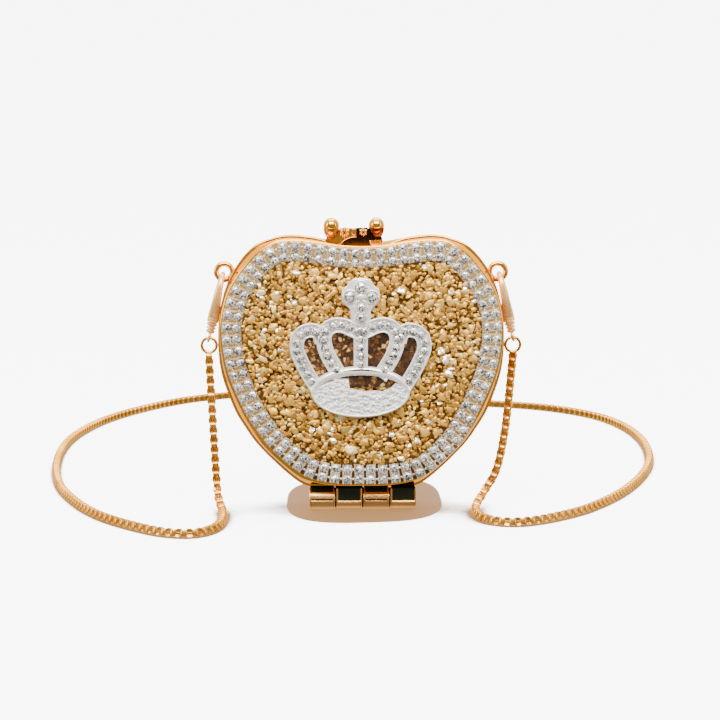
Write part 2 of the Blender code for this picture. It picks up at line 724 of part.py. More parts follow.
def add_round_knuckle(name, index, bore):
    """A barrel on the back half: flat under its foot, with a tab below the frame and a front groove."""
    flat_degrees = math.degrees(math.asin(PIN_Z / BARREL_RADIUS))
    tab_under = BARREL_RADIUS - HINGE_TAB_THICKNESS
    tab_degrees = math.degrees(math.asin(tab_under / BARREL_RADIUS))
    section = arc(BARREL_RADIUS, -flat_degrees, tab_degrees, 10)
    section.append((SEAM_Y + HINGE_TAB_REACH, PIN_Z + tab_under))
    section.append((SEAM_Y + HINGE_TAB_REACH, PIN_Z + BARREL_RADIUS))
    section += arc(BARREL_RADIUS, 90, 180 + flat_degrees, 14)
    start, end = knuckle_span(index)
    obj = add_section(name, section, start, end)
    boolean(obj, bore)
    groove_z = PIN_Z - GROOVE_DROP
    groove = add_box(
        name + "_groove",
        (start + GROOVE_MARGIN, SEAM_Y - BARREL_RADIUS - OVERRUN, groove_z - GROOVE_WIDTH / 2),
        (end - GROOVE_MARGIN, SEAM_Y - BARREL_RADIUS + GROOVE_DEPTH, groove_z + GROOVE_WIDTH / 2),
    )
    boolean(obj, groove)
    return finish(obj, GOLD)


def add_box_knuckle(name, index, bore):
    """A square-fronted knuckle on the front half, round behind so that it turns, with a recess."""
    round_radius = PIN_Z - BOX_FLOOR_GAP
    section = [
        (SEAM_Y, PIN_Z + BARREL_RADIUS),
        (SEAM_Y - BOX_FRONT, PIN_Z + BARREL_RADIUS),
        (SEAM_Y - BOX_FRONT, PIN_Z - BOX_FLAT_DROP),
    ]
    section += arc(round_radius, 215, 450, 20)
    start, end = knuckle_span(index)
    obj = add_section(name, section, start, end)
    boolean(obj, bore)
    low, high = inlay_box(index, 0.0, OVERRUN)
    boolean(obj, add_box(name + "_recess", low, high))
    return finish(obj, GOLD)


def inlay_box(index, gap, forward):
    """The corners of a knuckle's recess, drawn in by gap and carried forward of its face."""
    start, end = knuckle_span(index)
    face = SEAM_Y - BOX_FRONT
    low_z = PIN_Z - INLAY_DROP
    low = (start + INLAY_MARGIN + gap, face - forward, low_z + gap)
    high = (end - INLAY_MARGIN - gap, face + INLAY_DEPTH - gap, low_z + INLAY_HEIGHT - gap)
    return low, high


def add_inlay(name, index):
    low, high = inlay_box(index, CLEAR, -INLAY_SINK)
    return finish(add_box(name, low, high), INLAY)


def add_hinge_pin(name):
    reach = HINGE_LENGTH / 2 - CLEAR
    ends = [(HINGE_SIDESTEP + way * reach, SEAM_Y, PIN_Z) for way in (LEFT, RIGHT)]
    return finish(add_cylinder(name, *ends, PIN_RADIUS, 16), GOLD)


# Kiss lock

def arm_middle(side):
    return SEAM_Y + side * (ARM_SEAM_GAP + ARM_THICKNESS / 2)


def add_arm(name, side, ball_x, end_x, frame_cutter):
    """One arm of the lock: a foot under its ball, and a bar over the notch. The front arm's bar
    arches, and the back arm is a full plate that closes the arch from behind."""
    inwards = math.copysign(1, end_x - ball_x)
    foot_x = ball_x - inwards * ARM_FOOT_REACH
    inner = ball_x + inwards * (BALL_RADIUS + ARM_BALL_GAP)
    outline = [
        (foot_x, ARM_FOOT_DEEP_Z),
        (foot_x, ARM_FOOT_TOP_Z),
        (inner, ARM_FOOT_TOP_Z),
        (inner, ARM_TOP_Z),
        (end_x, ARM_TOP_Z),
        (end_x, ARM_UNDER_Z),
    ]
    if side == FRONT:
        outline += [
            (inner + inwards * ARM_FOOT_SLOPE, ARM_UNDER_Z),
            (inner, (ARM_UNDER_Z + ARM_FOOT_DEEP_Z) / 2),
            (inner, ARM_FOOT_DEEP_Z),
        ]
    else:
        outline += [
            (end_x + inwards * BACKING_SHOULDER, ARM_UNDER_Z - ARM_FOOT_SLOPE / 2),
            (end_x + inwards * BACKING_REACH, ARM_FOOT_DEEP_Z),
        ]
    obj = add_plate(name, outline, arm_middle(side), ARM_THICKNESS)
    boolean(obj, frame_cutter)
    add_bevel(obj, ARM_EDGE)
    return finish(obj, GOLD)


def add_ball(name, side, x):
    """A lock ball: a bowl on the arm's foot, a neck and the ball, turned in one."""
    bottom = ARM_FOOT_TOP_Z + CLEAR - BALL_CENTRE_Z
    neck = math.asin(BALL_NECK_RADIUS / BALL_RADIUS)
    angles = np.linspace(0.0, math.pi - neck, 9)
    profile = [(BALL_RADIUS * math.sin(a), BALL_RADIUS * math.cos(a)) for a in angles]
    bowl_top = bottom + BOWL_HEIGHT
    profile += [
        (BOWL_RADIUS, bowl_top - BOWL_HEIGHT / 4),
        (BOWL_RADIUS, bottom + BOWL_HEIGHT / 3),
        (BOWL_RADIUS * math.sqrt(0.5), bottom),
        (0.0, bottom),
    ]
    return finish(add_turned(name, profile, (x, arm_middle(side), BALL_CENTRE_Z), 16), GOLD, 50)


def add_rosette(name, side, x, radius):
    """A six-petalled flower on an arm's front face."""
    angles = np.arange(ROSETTE_PETALS * 4) * 2 * math.pi / (ROSETTE_PETALS * 4)
    reach = radius * (1 - PETAL_NOTCH_SHARE * (1 - np.cos(ROSETTE_PETALS * angles)) / 2)
    outline = list(zip(x + reach * np.sin(angles), ROSETTE_Z + reach * np.cos(angles)))
    middle = arm_middle(side) - ARM_THICKNESS / 2 - CLEAR - ROSETTE_THICKNESS / 2
    obj = add_plate(name, outline, middle, ROSETTE_THICKNESS)
    return finish(obj, GOLD)


# Crown

def crown_points(shares, mirrored=True):
    """Shares of the crown's half width and height, as places on the case; mirrored about its middle."""
    shares = list(shares)
    if mirrored:
        shares += [(-x, z) for x, z in reversed(shares) if x > 0]
    return [
        (CROWN_SIDESTEP + x * CROWN_WIDTH / 2, CROWN_BOTTOM_Z + z * CROWN_HEIGHT) for x, z in shares
    ]


def flipped(shares):
    return [(-x, z) for x, z in shares]


def crown_plate(name, outline, thickness, holes=()):
    middle = SEAM_Y - CROWN_BACK - thickness / 2
    return add_plate(name, outline, middle, thickness, holes)


def crown_cutter(name, outline):
    """A cutter that runs past the crown's back and its front."""
    middle = SEAM_Y - CROWN_BACK - CROWN_BAND_BULGE / 2
    return add_plate(name, outline, middle, CROWN_BAND_BULGE + 2 * OVERRUN)


def crown_base_ellipse(grow=0.0):
    half_width = CROWN_BASE_HALF_WIDTH_SHARE * CROWN_WIDTH / 2
    half_height = CROWN_BASE_HALF_HEIGHT_SHARE * CROWN_HEIGHT
    centre_z = CROWN_BOTTOM_Z + half_height
    angles = np.arange(CROWN_BASE_STEPS) * 2 * math.pi / CROWN_BASE_STEPS
    across = CROWN_SIDESTEP + (half_width + grow) * np.cos(angles)
    up = centre_z + (half_height + grow) * np.sin(angles)
    return list(zip(across, up)), half_width, half_height, centre_z


def add_crown_arches(name):
    """Five ribs in one casting: the outer and inner arches on each side, and the middle strut."""
    windows = []
    for shares in (CROWN_OUTER_WINDOW_SHARES, CROWN_INNER_WINDOW_SHARES):
        windows += [crown_points(half, mirrored=False) for half in (shares, flipped(shares))]
    obj = crown_plate(name, crown_points(CROWN_ARCH_SHARES), CROWN_PLATE, windows)
    grown, *_ = crown_base_ellipse(CLEAR)
    boolean(obj, crown_cutter(name + "_foot", grown))
    add_bevel(obj, CROWN_EDGE)
    return finish(obj, SILVER)


def add_crown_base(name):
    """The oval band at the crown's foot: a swelling ellipse with a window in its upper half."""
    _, half_width, half_height, centre_z = crown_base_ellipse()
    rings = []
    angles = np.arange(CROWN_BASE_STEPS) * 2 * math.pi / CROWN_BASE_STEPS
    for scale_share, depth_share in CROWN_BASE_SWELL_SHARES:
        ring = np.empty((CROWN_BASE_STEPS, 3))
        ring[:, 0] = CROWN_SIDESTEP + half_width * scale_share * np.cos(angles)
        ring[:, 1] = SEAM_Y - CROWN_BACK - CROWN_BAND_BULGE * depth_share
        ring[:, 2] = centre_z + half_height * scale_share * np.sin(angles)
        rings.append(ring)
    obj = add_object(name, loft(name, rings, cap_first=True, cap_last=True))
    window = [
        (CROWN_SIDESTEP + x * half_width, centre_z + z * half_height)
        for x, z in CROWN_BASE_WINDOW_SHARES
    ]
    boolean(obj, crown_cutter(name + "_window", window))
    return finish(obj, SILVER, 50)


def add_crown_finial(name):
    obj = crown_plate(name, crown_points(CROWN_FINIAL_SHARES), CROWN_FINIAL_PLATE)
    add_bevel(obj, CROWN_EDGE)
    return finish(obj, SILVER)


# Strap fittings

def add_strap_loop(name, side, frame_cutter):
    """A ring of round wire, soldered to the back frame's edge."""
    obj = add_ring(name, (side * LOOP_X, STRAP_Y, LOOP_Z), LOOP_RADIUS, LOOP_WIRE)
    boolean(obj, frame_cutter)
    return finish(obj, GOLD)


def claw_place(side):
    """The frame that a claw is drawn in: its top at the origin, its length down the Z axis."""
    return Matrix.Translation((side * CLAW_TOP_X, STRAP_Y, CLAW_TOP_Z)) @ Matrix.Rotation(
        -side * CLAW_TILT, 4, "Y"
    )


def place(obj, matrix):
    obj.data.transform(matrix)
    return obj


def add_tube(name, points, radius, scales=None, resolution=2):
    """A tube of round wire through the points, with closed ends."""
    curve = bpy.data.curves.new(name, "CURVE")
    curve.dimensions = "3D"
    curve.bevel_depth = radius
    curve.bevel_resolution = resolution
    curve.use_fill_caps = True
    spline = curve.splines.new("POLY")
    spline.points.add(len(points) - 1)
    spline.points.foreach_set("co", np.hstack([np.array(points), np.ones((len(points), 1))]).ravel())
    if scales is not None:
        spline.points.foreach_set("radius", np.array(scales))
    obj = add_object(name + "_curve", curve)
    bpy.context.view_layer.update()
    return as_mesh(obj, name)


def add_claw(name, side):
    """The claw's body: a tapering hook, two cheeks with a slot for the gate, and a collar below."""
    hook = [(0.0, v * CLAW_HALF_BREADTH, w * CLAW_LENGTH) for v, w, _ in CLAW_HOOK_SHARES]
    scales = [radius for *_, radius in CLAW_HOOK_SHARES]
    obj = add_tube(name, hook, CLAW_WIRE, scales)
    bm = bmesh.new()
    bmesh.ops.create_uvsphere(bm, u_segments=14, v_segments=9, radius=1.0)
    bmesh.ops.scale(bm, vec=(CHEEK_HALF_THICKNESS, CHEEK_RADIUS, CHEEK_RADIUS), verts=bm.verts)
    bmesh.ops.translate(bm, vec=(0.0, 0.0, -CHEEK_DROP), verts=bm.verts)
    cheeks = add_object(name + "_cheeks", mesh_from(bm, name + "_cheeks"))
    boolean(obj, cheeks, "UNION")
    collar_top = (0.0, 0.0, -CLAW_LENGTH + COLLAR_HEIGHT)
    collar_end = (0.0, 0.0, -CLAW_LENGTH)
    boolean(obj, add_cylinder(name + "_collar", collar_top, collar_end, COLLAR_RADIUS, 16), "UNION")
    slot_half = GATE_THICKNESS / 2 + CLEAR
    slot = add_box(
        name + "_slot",
        (-slot_half, 0.0, -CHEEK_DROP - CHEEK_RADIUS * math.sqrt(0.5)),
        (slot_half, 2 * CHEEK_RADIUS, -CHEEK_DROP + CHEEK_RADIUS + OVERRUN),
    )
    boolean(obj, slot)
    pivot = (0.0, GATE_PIVOT_BACK, -GATE_PIVOT_DROP)
    reach = Vector((CHEEK_HALF_THICKNESS + OVERRUN, 0.0, 0.0))
    bore = add_cylinder(
        name + "_pin_bore", Vector(pivot) - reach, Vector(pivot) + reach, GATE_PIN_RADIUS + GATE_PIN_CLEAR, 12
    )
    boolean(obj, bore)
    stem_bore = add_cylinder(
        name + "_stem_bore", (0.0, 0.0, -CLAW_LENGTH - OVERRUN), collar_top, SWIVEL_STEM_RADIUS + CLEAR, 12
    )
    boolean(obj, stem_bore)
    bpy.context.view_layer.update()
    obj = as_mesh(obj, name)
    return finish(place(obj, claw_place(side)), ROSE_GOLD)


def add_gate(name, side):
    """The sprung gate with its thumb tab, cut from plate; it turns on a pin between the cheeks."""
    outline = [(v * CLAW_HALF_BREADTH, w * CLAW_LENGTH) for v, w in CLAW_GATE_SHARES]
    obj = add_section(name, outline, -GATE_THICKNESS / 2, GATE_THICKNESS / 2)
    pivot = Vector((0.0, GATE_PIVOT_BACK, -GATE_PIVOT_DROP))
    reach = Vector((GATE_THICKNESS, 0.0, 0.0))
    boolean(
        obj, add_cylinder(name + "_bore", pivot - reach, pivot + reach, GATE_PIN_RADIUS + GATE_PIN_CLEAR, 12)
    )
    obj = as_mesh(obj, name)
    obj.data.transform(obj.matrix_world)
    obj.matrix_world = Matrix.Identity(4)
    return finish(place(obj, claw_place(side)), ROSE_GOLD)


def add_gate_pin(name, side):
    pivot = Vector((0.0, GATE_PIVOT_BACK, -GATE_PIVOT_DROP))
    reach = Vector((CHEEK_HALF_THICKNESS * PIN_REACH_SHARE, 0.0, 0.0))
    obj = add_cylinder(name, pivot - reach, pivot + reach, GATE_PIN_RADIUS, 10)
    return finish(place(obj, claw_place(side)), ROSE_GOLD)


def add_swivel(name, side):
    """The swivel: a stem in the claw's collar and an eye for the jump ring."""
    eye = (0.0, 0.0, -SWIVEL_EYE_DROP)
    obj = add_ring(name, eye, SWIVEL_EYE_RADIUS, SWIVEL_EYE_WIRE, axis="X", steps=16, sides=8)
    stem_top = (0.0, 0.0, -CLAW_LENGTH + COLLAR_HEIGHT - CLEAR)
    stem_end = (0.0, 0.0, -SWIVEL_EYE_DROP + SWIVEL_EYE_RADIUS)
    boolean(obj, add_cylinder(name + "_stem", stem_top, stem_end, SWIVEL_STEM_RADIUS, 12), "UNION")
    obj = as_mesh(obj, name)
    return finish(place(obj, claw_place(side)), ROSE_GOLD)


def jump_ring_centre(side):
    """The ring hangs from the swivel's eye, and its top passes through the eye's middle."""
    hang = claw_place(side) @ Vector((0.0, 0.0, -JUMP_RING_TOP_DROP))
    return Vector((hang.x, hang.y, hang.z - JUMP_RING_RADIUS))


def add_jump_ring(name, side):
    centre = jump_ring_centre(side)
    return finish(add_ring(name, centre, JUMP_RING_RADIUS, JUMP_RING_WIRE, steps=20, sides=6), GOLD)


def chain_route():
    """The route's points from the left jump ring to the right one."""
    lowest = CHAIN_DIAMETER / 2 + CHAIN_FLOOR_GAP
    points = []
    for side, table in ((LEFT, CHAIN_LEFT_ROUTE), (RIGHT, CHAIN_RIGHT_ROUTE)):
        ring = jump_ring_centre(side)
        top = ring.z - JUMP_RING_RADIUS - JUMP_RING_WIRE - CHAIN_END_GAP
        for outward, behind, height_share in table:
            height = lowest + height_share * (top - lowest)
            points.append((ring.x + side * outward, ring.y + behind, height))
    return np.array(points)


def add_chain(name):
    """The chain's plain tube, through points read from a smooth curve, closer where it bends."""
    route = chain_route()
    ends = np.vstack([2 * route[0] - route[1], route, 2 * route[-1] - route[-2]])
    t = np.linspace(0.0, 1.0, 16, endpoint=False)[None, :, None]
    p0, p1, p2, p3 = (ends[i : len(ends) - 3 + i, None, :] for i in range(4))
    dense = 0.5 * (
        2 * p1 + (p2 - p0) * t + (2 * p0 - 5 * p1 + 4 * p2 - p3) * t**2
        + (3 * p1 - p0 - 3 * p2 + p3) * t**3
    )
    dense = np.vstack([dense.reshape(-1, 3), route[-1:]])
    lowest = CHAIN_DIAMETER / 2 + CHAIN_FLOOR_GAP
    dense[:, 2] = np.maximum(dense[:, 2], lowest)
    steps = np.diff(dense, axis=0)
    lengths = np.linalg.norm(steps, axis=1)
    headings = steps / lengths[:, None]
    turns = np.linalg.norm(np.diff(headings, axis=0, prepend=headings[:1]), axis=1)
    weight = np.concatenate([[0.0], np.cumsum(lengths + CHAIN_BEND_SPACING * turns)])
    places = np.linspace(0.0, weight[-1], CHAIN_POINTS)
    points = np.stack([np.interp(places, weight, dense[:, axis]) for axis in range(3)], axis=1)
    print("chain length in metres:", round(float(lengths.sum()), 4))
    return finish(add_tube(name, points, CHAIN_DIAMETER / 2), GOLD)


# Assembly

def add_pivot(name, position):
    """An empty on a joint's axis, which the moving pieces hang on."""
    empty = add_object(name, None)
    empty.location = position
    bpy.context.view_layer.update()
    return empty


def hang_on(pivot, *pieces):
    for piece in pieces:
        piece.parent = pivot
        piece.matrix_parent_inverse = pivot.matrix_world.inverted()


def build_half(word, side):
    """The pieces that both halves share."""
    return [
        add_frame(word + "_frame", side),
        add_shell(word + "_shell", side),
        add_lining(word + "_lining", side),
        add_stone_border(word + "_stone_border", side),
        add_stone_field(word + "_stone_field", side),
    ]


def build():
    frame_cutter = grown_outline_cutter("grown_outline")
    bore = pin_bore("hinge_bore")

    build_half("back", BACK)
    front = build_half("front", FRONT)

    add_round_knuckle("hinge_knuckle_1", 0, bore)
    front.append(add_box_knuckle("hinge_knuckle_2", 1, bore))
    add_round_knuckle("hinge_knuckle_3", 2, bore)
    front.append(add_box_knuckle("hinge_knuckle_4", 3, bore))
    front.append(add_inlay("hinge_inlay_1", 1))
    front.append(add_inlay("hinge_inlay_2", 3))
    add_hinge_pin("hinge_pin")

    front.append(add_arm("clasp_front_arm", FRONT, FRONT_BALL_X, FRONT_ARM_END_X, frame_cutter))
    front.append(add_ball("clasp_front_ball", FRONT, FRONT_BALL_X))
    front.append(add_rosette("clasp_front_rosette", FRONT, FRONT_ROSETTE_X, FRONT_ROSETTE_RADIUS))
    add_arm("clasp_back_arm", BACK, BACK_BALL_X, BACK_ARM_END_X, frame_cutter)
    add_ball("clasp_back_ball", BACK, BACK_BALL_X)
    add_rosette("clasp_back_rosette", BACK, BACK_ROSETTE_X, BACK_ROSETTE_RADIUS)

    front.append(add_crown_arches("crown_arches"))
    front.append(add_crown_base("crown_base"))
    front.append(add_crown_finial("crown_finial"))
    hang_on(add_pivot("hinge_axis", (0.0, SEAM_Y, PIN_Z)), *front)

    for word, side in (("left", LEFT), ("right", RIGHT)):
        add_strap_loop("strap_loop_" + word, side, frame_cutter)
        claw = add_claw("claw_" + word, side)
        gate_pin = add_gate_pin("gate_pin_" + word, side)
        gate = add_gate("gate_" + word, side)
        add_swivel("swivel_" + word, side)
        add_jump_ring("jump_ring_" + word, side)
        hang_on(add_pivot("claw_axis_" + word, claw_place(side) @ Vector()), claw, gate_pin)
        pivot = claw_place(side) @ Vector((0.0, GATE_PIVOT_BACK, -GATE_PIVOT_DROP))
        hang_on(add_pivot("gate_axis_" + word, pivot), gate)
    add_chain("strap_chain")


build()
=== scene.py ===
"""Evening clutch, dressed: the finished pieces, their finishes, the camera and the light.

Every new piece is a surface worked out with numpy: a grid of points from a formula, or a profile
carried along a path. X runs across the case, Y from the front to the back and Z up, in metres.
"""
import math

import bpy
import numpy as np
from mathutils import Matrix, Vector


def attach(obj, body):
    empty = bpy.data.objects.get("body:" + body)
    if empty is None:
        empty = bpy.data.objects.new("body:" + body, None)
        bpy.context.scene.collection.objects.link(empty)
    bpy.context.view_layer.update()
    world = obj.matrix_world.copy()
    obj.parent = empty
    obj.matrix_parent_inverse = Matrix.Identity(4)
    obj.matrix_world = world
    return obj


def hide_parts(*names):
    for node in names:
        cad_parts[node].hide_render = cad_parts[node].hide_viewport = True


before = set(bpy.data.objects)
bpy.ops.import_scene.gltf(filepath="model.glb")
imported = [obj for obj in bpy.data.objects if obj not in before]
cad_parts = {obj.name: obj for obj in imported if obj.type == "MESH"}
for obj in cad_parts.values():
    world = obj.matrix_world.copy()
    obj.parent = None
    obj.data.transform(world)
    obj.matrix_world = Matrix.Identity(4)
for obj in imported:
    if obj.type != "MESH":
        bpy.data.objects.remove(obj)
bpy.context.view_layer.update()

# Sizes that part.py gives
HALF_WIDTH = 0.06475
CASE_HEIGHT = 0.1148
WALL_DEPTH = 0.0130
SHELL_INSET = 0.0009
EDGE_ROUND = 0.0009
WALL = 0.0009
CLEAR = 0.0003
SEAM_GAP = 0.00015
BEAD_DEPTH = 0.00175
FLANGE_REACH = 0.0030
FLANGE_THICKNESS = 0.0009
LINING_THICK = 0.0008
LINING_LIP = 0.0008
BORDER_INSET = 0.0010
BORDER_SIDESTEP = 0.0014
BORDER_SIDESTEP_SHARE = 0.32
BORDER_WIDTH = 0.0088
BORDER_PAIRS = 66
PLATE_BACK = WALL_DEPTH + CLEAR
BACK_REACH = PLATE_BACK + 0.0027
CROWN_BACK = BACK_REACH + CLEAR
SEAM_Y = 0.00175
PIN_Z = 0.0050
BARREL_RADIUS = 0.0053
CASE_BOTTOM_Z = PIN_Z + BARREL_RADIUS + CLEAR
SHELL_START = SEAM_GAP + BEAD_DEPTH + CLEAR
NOTCH_Z = CASE_BOTTOM_Z + 0.946 * CASE_HEIGHT
STRAP_Y = SEAM_Y + 0.0011
CHAIN_LOW = 0.0021
FRONT = -1
BACK = 1
OUTLINE = (
    (0.0, 0.0, 0.0, 0.021), (0.20, 0.0, 0.17, 0.022), (0.37, 0.0, 0.34, 0.038),
    (0.50, 0.042, 0.46, 0.068), (0.708, 0.155, 0.648, 0.161), (0.819, 0.240, 0.750, 0.239),
    (0.902, 0.325, 0.838, 0.328), (0.985, 0.470, 0.940, 0.471), (1.0, 0.626, 0.981, 0.626),
    (0.963, 0.763, 0.944, 0.757), (0.878, 0.872, 0.862, 0.846), (0.75, 0.955, 0.735, 0.931),
    (0.61, 0.990, 0.610, 0.979), (0.50, 1.0, 0.50, 0.990), (0.39, 0.996, 0.39, 0.987),
    (0.28, 0.985, 0.28, 0.979), (0.15, 0.957, 0.15, 0.968), (0.0, 0.946, 0.0, 0.964),
)


# Shader maths

class Value:
    """A socket's value, with arithmetic that adds Math nodes."""

    def __init__(self, nodes, socket):
        self.nodes = nodes
        self.socket = socket

    def maths(self, operation, *others):
        return self.nodes.node("Math", {"operation": operation}, [self, *others])

    def __add__(self, other):
        return self.maths("ADD", other)

    __radd__ = __add__

    def __mul__(self, other):
        return self.maths("MULTIPLY", other)

    __rmul__ = __mul__

    def __sub__(self, other):
        return self.maths("SUBTRACT", other)

    def __rsub__(self, other):
        return self.nodes.node("Math", {"operation": "SUBTRACT"}, [other, self])

    def __truediv__(self, other):
        return self.maths("DIVIDE", other)

    def power(self, other):
        return self.maths("POWER", other)

    def above(self, level, width=0.02):
        """A soft step from 0 to 1 as the value passes the level."""
        return self.nodes.node(
            "MapRange", {"interpolation_type": "SMOOTHSTEP"},
            {"Value": self, "From Min": level - width, "From Max": level + width},
        )


class Nodes:
    """A node tree under construction: node() adds a node, sets it up and links its sockets."""

    def __init__(self, tree):
        self.tree = tree

    def node(self, kind, settings=None, inputs=None, output=0):
        made = self.tree.nodes.new("ShaderNode" + kind)
        for key, value in (settings or {}).items():
            if key == "stops":
                ramp = made.color_ramp
                while len(ramp.elements) < len(value):
                    ramp.elements.new(0.5)
                for element, (place, colour) in zip(ramp.elements, value):
                    element.position = place
                    element.color = (*colour, 1.0)
            else:
                setattr(made, key, value)
        pairs = enumerate(inputs) if isinstance(inputs, list) else (inputs or {}).items()
        for key, value in pairs:
            self.feed(made.inputs[key], value)
        return Value(self, made.outputs[output])

    def feed(self, socket, value):
        if isinstance(value, Value):
            self.tree.links.new(value.socket, socket)
        elif isinstance(value, tuple) and len(value) == 3 and socket.type == "RGBA":
            socket.default_value = (*value, 1.0)
        else:
            socket.default_value = value

    def place(self, scale=(1.0, 1.0, 1.0)):
        """Object coordinates, stretched by scale."""
        where = self.node("TexCoord", output=3)
        return self.node("Mapping", {"vector_type": "POINT"}, {"Vector": where, "Scale": scale})

    def noise(self, scale, detail=3.0, where=None, roughness=0.5):
        return self.node(
            "TexNoise", {},
            {"Vector": where or self.place(), "Scale": scale, "Detail": detail, "Roughness": roughness},
        )

    def ramp(self, value, stops):
        return self.node("ValToRGB", {"stops": stops}, {"Fac": value})

    def mix(self, factor, first, second):
        made = self.tree.nodes.new("ShaderNodeMix")
        made.data_type = "RGBA"
        self.feed(made.inputs["Factor"], factor)
        self.feed(made.inputs["A"] if made.inputs["A"].type == "RGBA" else made.inputs[6], first)
        self.feed(made.inputs["B"] if made.inputs["B"].type == "RGBA" else made.inputs[7], second)
        return Value(self, [out for out in made.outputs if out.type == "RGBA"][0])

    def bump(self, height, depth, strength=1.0):
        return self.node("Bump", {}, {"Height": height, "Distance": depth, "Strength": strength})

    def tone(self):
        """The number that each facet or chip carries."""
        return self.node("Attribute", {"attribute_name": "tone"}, output=2)


class Finish(Nodes):
    """A material: its constants are set on the shader at once, and set() feeds what varies."""

    def __init__(self, name, **constants):
        self.material = bpy.data.materials.new(name)
        self.material.use_nodes = True
        super().__init__(self.material.node_tree)
        self.shader = self.tree.nodes["Principled BSDF"]
        for socket, value in constants.items():
            self.shader.inputs[socket.replace("_", " ")].default_value = value

    def set(self, **inputs):
        for key, value in inputs.items():
            self.feed(self.shader.inputs[key.replace("_", " ")], value)


PLATE_SPREAD = 0.06


def plated_metal(name, colour, deep, roughness, metallic=1.0):
    """Polished plate: two tones of its metal in broad drifts, hairline scratches and soft smears."""
    edge_tint = tuple(share**0.5 for share in colour)
    finish = Finish(name, Metallic=metallic, Specular_Tint=(*edge_tint, 1.0))
    drift = finish.noise(38.0, 3.0)
    scratches = finish.noise(900.0, 2.0, finish.place((1.0, 1.0, 0.06)))
    smears = finish.noise(150.0, 4.0)
    finish.set(
        Base_Color=finish.mix(drift.above(0.52, 0.20), colour, deep),
        Roughness=(
            roughness + PLATE_SPREAD * smears.above(0.58, 0.14) + PLATE_SPREAD * scratches.above(0.66, 0.04)
        ),
        Normal=finish.bump(drift + 0.15 * scratches, 0.00003, 0.25),
    )
    return finish.material


def chip_finish():
    """Foiled crushed stone: each chip's tone picks its colour, over specks and hazy patches."""
    finish = Finish("crushed_stone", Coat_Roughness=0.06, Specular_IOR_Level=0.3)
    tone = finish.tone()
    specks = finish.noise(1500.0, 3.0)
    veins = finish.noise(420.0, 4.0)
    shifted = tone + 0.16 * (specks - 0.5) + 0.24 * (veins - 0.5)
    colour = finish.ramp(shifted, [
        (0.0, (0.05, 0.020, 0.003)), (0.25, (0.26, 0.11, 0.012)), (0.50, (0.62, 0.305, 0.040)),
        (0.72, (0.88, 0.50, 0.09)), (0.90, (1.0, 0.78, 0.30)), (1.0, (1.0, 0.98, 0.93)),
    ])
    white = tone.above(0.95, 0.03)
    finish.set(
        Base_Color=colour,
        Roughness=0.26 + 0.22 * veins.above(0.5, 0.2) - 0.14 * white,
        Metallic=0.55 + 0.30 * white,
        Coat_Weight=0.8 * white,
        Normal=finish.bump(specks + veins, 0.00006, 0.4),
    )
    return finish.material


def stone_finish():
    """Foil-backed cut stones: each facet's tone, from near black to white, is a painted reflection, and so
    are the dark lines.
    """
    finish = Finish("set_stones", Roughness=0.06, Coat_Weight=0.6, Coat_Roughness=0.03)
    tone = finish.tone()
    cloud = finish.noise(900.0, 3.0)
    # painted reflection: dark lines across the stones where the noise is near its middle
    reflection_lines = (cloud - 0.5).maths("ABSOLUTE").above(0.045, 0.030)
    colour = finish.ramp((tone + 0.30 * (cloud - 0.5)) * (0.30 + 0.70 * reflection_lines), [
        (0.0, (0.05, 0.042, 0.036)), (0.22, (0.30, 0.27, 0.23)), (0.45, (0.70, 0.66, 0.60)),
        (0.75, (0.95, 0.92, 0.88)), (1.0, (1.0, 1.0, 0.99)),
    ])
    finish.set(Base_Color=colour, Metallic=0.20 + 0.65 * tone.above(0.92, 0.04))
    return finish.material


def frosted_silver():
    """Silver with a crystalline crust: small cells in grey creases, and sparkling specks."""
    finish = Finish("frosted_silver", Coat_Weight=0.4)
    cells = finish.node(
        "TexVoronoi", {"feature": "F1"}, {"Vector": finish.place((1.0, 0.4, 1.0)), "Scale": 900.0}
    )
    creases = finish.noise(700.0, 4.0, roughness=0.7)
    glints = finish.noise(1700.0, 2.0)
    finish.set(
        Base_Color=finish.ramp(creases + 0.15 * cells, [
            (0.25, (0.26, 0.23, 0.20)), (0.48, (0.84, 0.81, 0.77)), (0.85, (1.0, 0.98, 0.95)),
        ]),
        Metallic=0.25 + 0.5 * glints.above(0.6, 0.05),
        Roughness=0.42 - 0.25 * glints.above(0.6, 0.06),
        Normal=finish.bump(creases + 0.6 * cells, 0.00050, 1.0),
    )
    return finish.material


def lining_cloth():
    """Plain woven satin: two crossing sets of fine ribs with slubs, dark brown."""
    finish = Finish("lining_satin", Sheen_Weight=0.35, Sheen_Roughness=0.4)
    where = finish.place()
    warp = finish.node(
        "TexWave", {"bands_direction": "X"}, {"Vector": where, "Scale": 900.0, "Distortion": 0.6}, 1
    )
    weft = finish.node(
        "TexWave", {"bands_direction": "Z"}, {"Vector": where, "Scale": 900.0, "Distortion": 0.6}, 1
    )
    slubs = finish.noise(260.0, 4.0, finish.place((0.15, 1.0, 1.0)))
    finish.set(
        Base_Color=finish.mix(slubs.above(0.5, 0.2), (0.115, 0.070, 0.045), (0.20, 0.13, 0.085)),
        Roughness=0.62 + 0.2 * slubs,
        Normal=finish.bump(warp * weft + 0.4 * slubs, 0.00008, 0.6),
    )
    return finish.material


def dark_enamel_and_shade():
    """Glossy dark green-black enamel with a faint orange-peel and dust, also laid on the round knuckles as
    painted shade.
    """
    finish = Finish("dark_enamel_and_shade", Coat_Weight=0.05, Specular_IOR_Level=0.2)
    peel = finish.noise(500.0, 2.0)
    dust = finish.noise(2500.0, 2.0)
    finish.set(
        Base_Color=finish.mix(peel, (0.007, 0.009, 0.001), (0.015, 0.017, 0.003)),
        Roughness=0.10 + 0.25 * dust.above(0.68, 0.05),
        Normal=finish.bump(peel, 0.00002, 0.4),
    )
    return finish.material


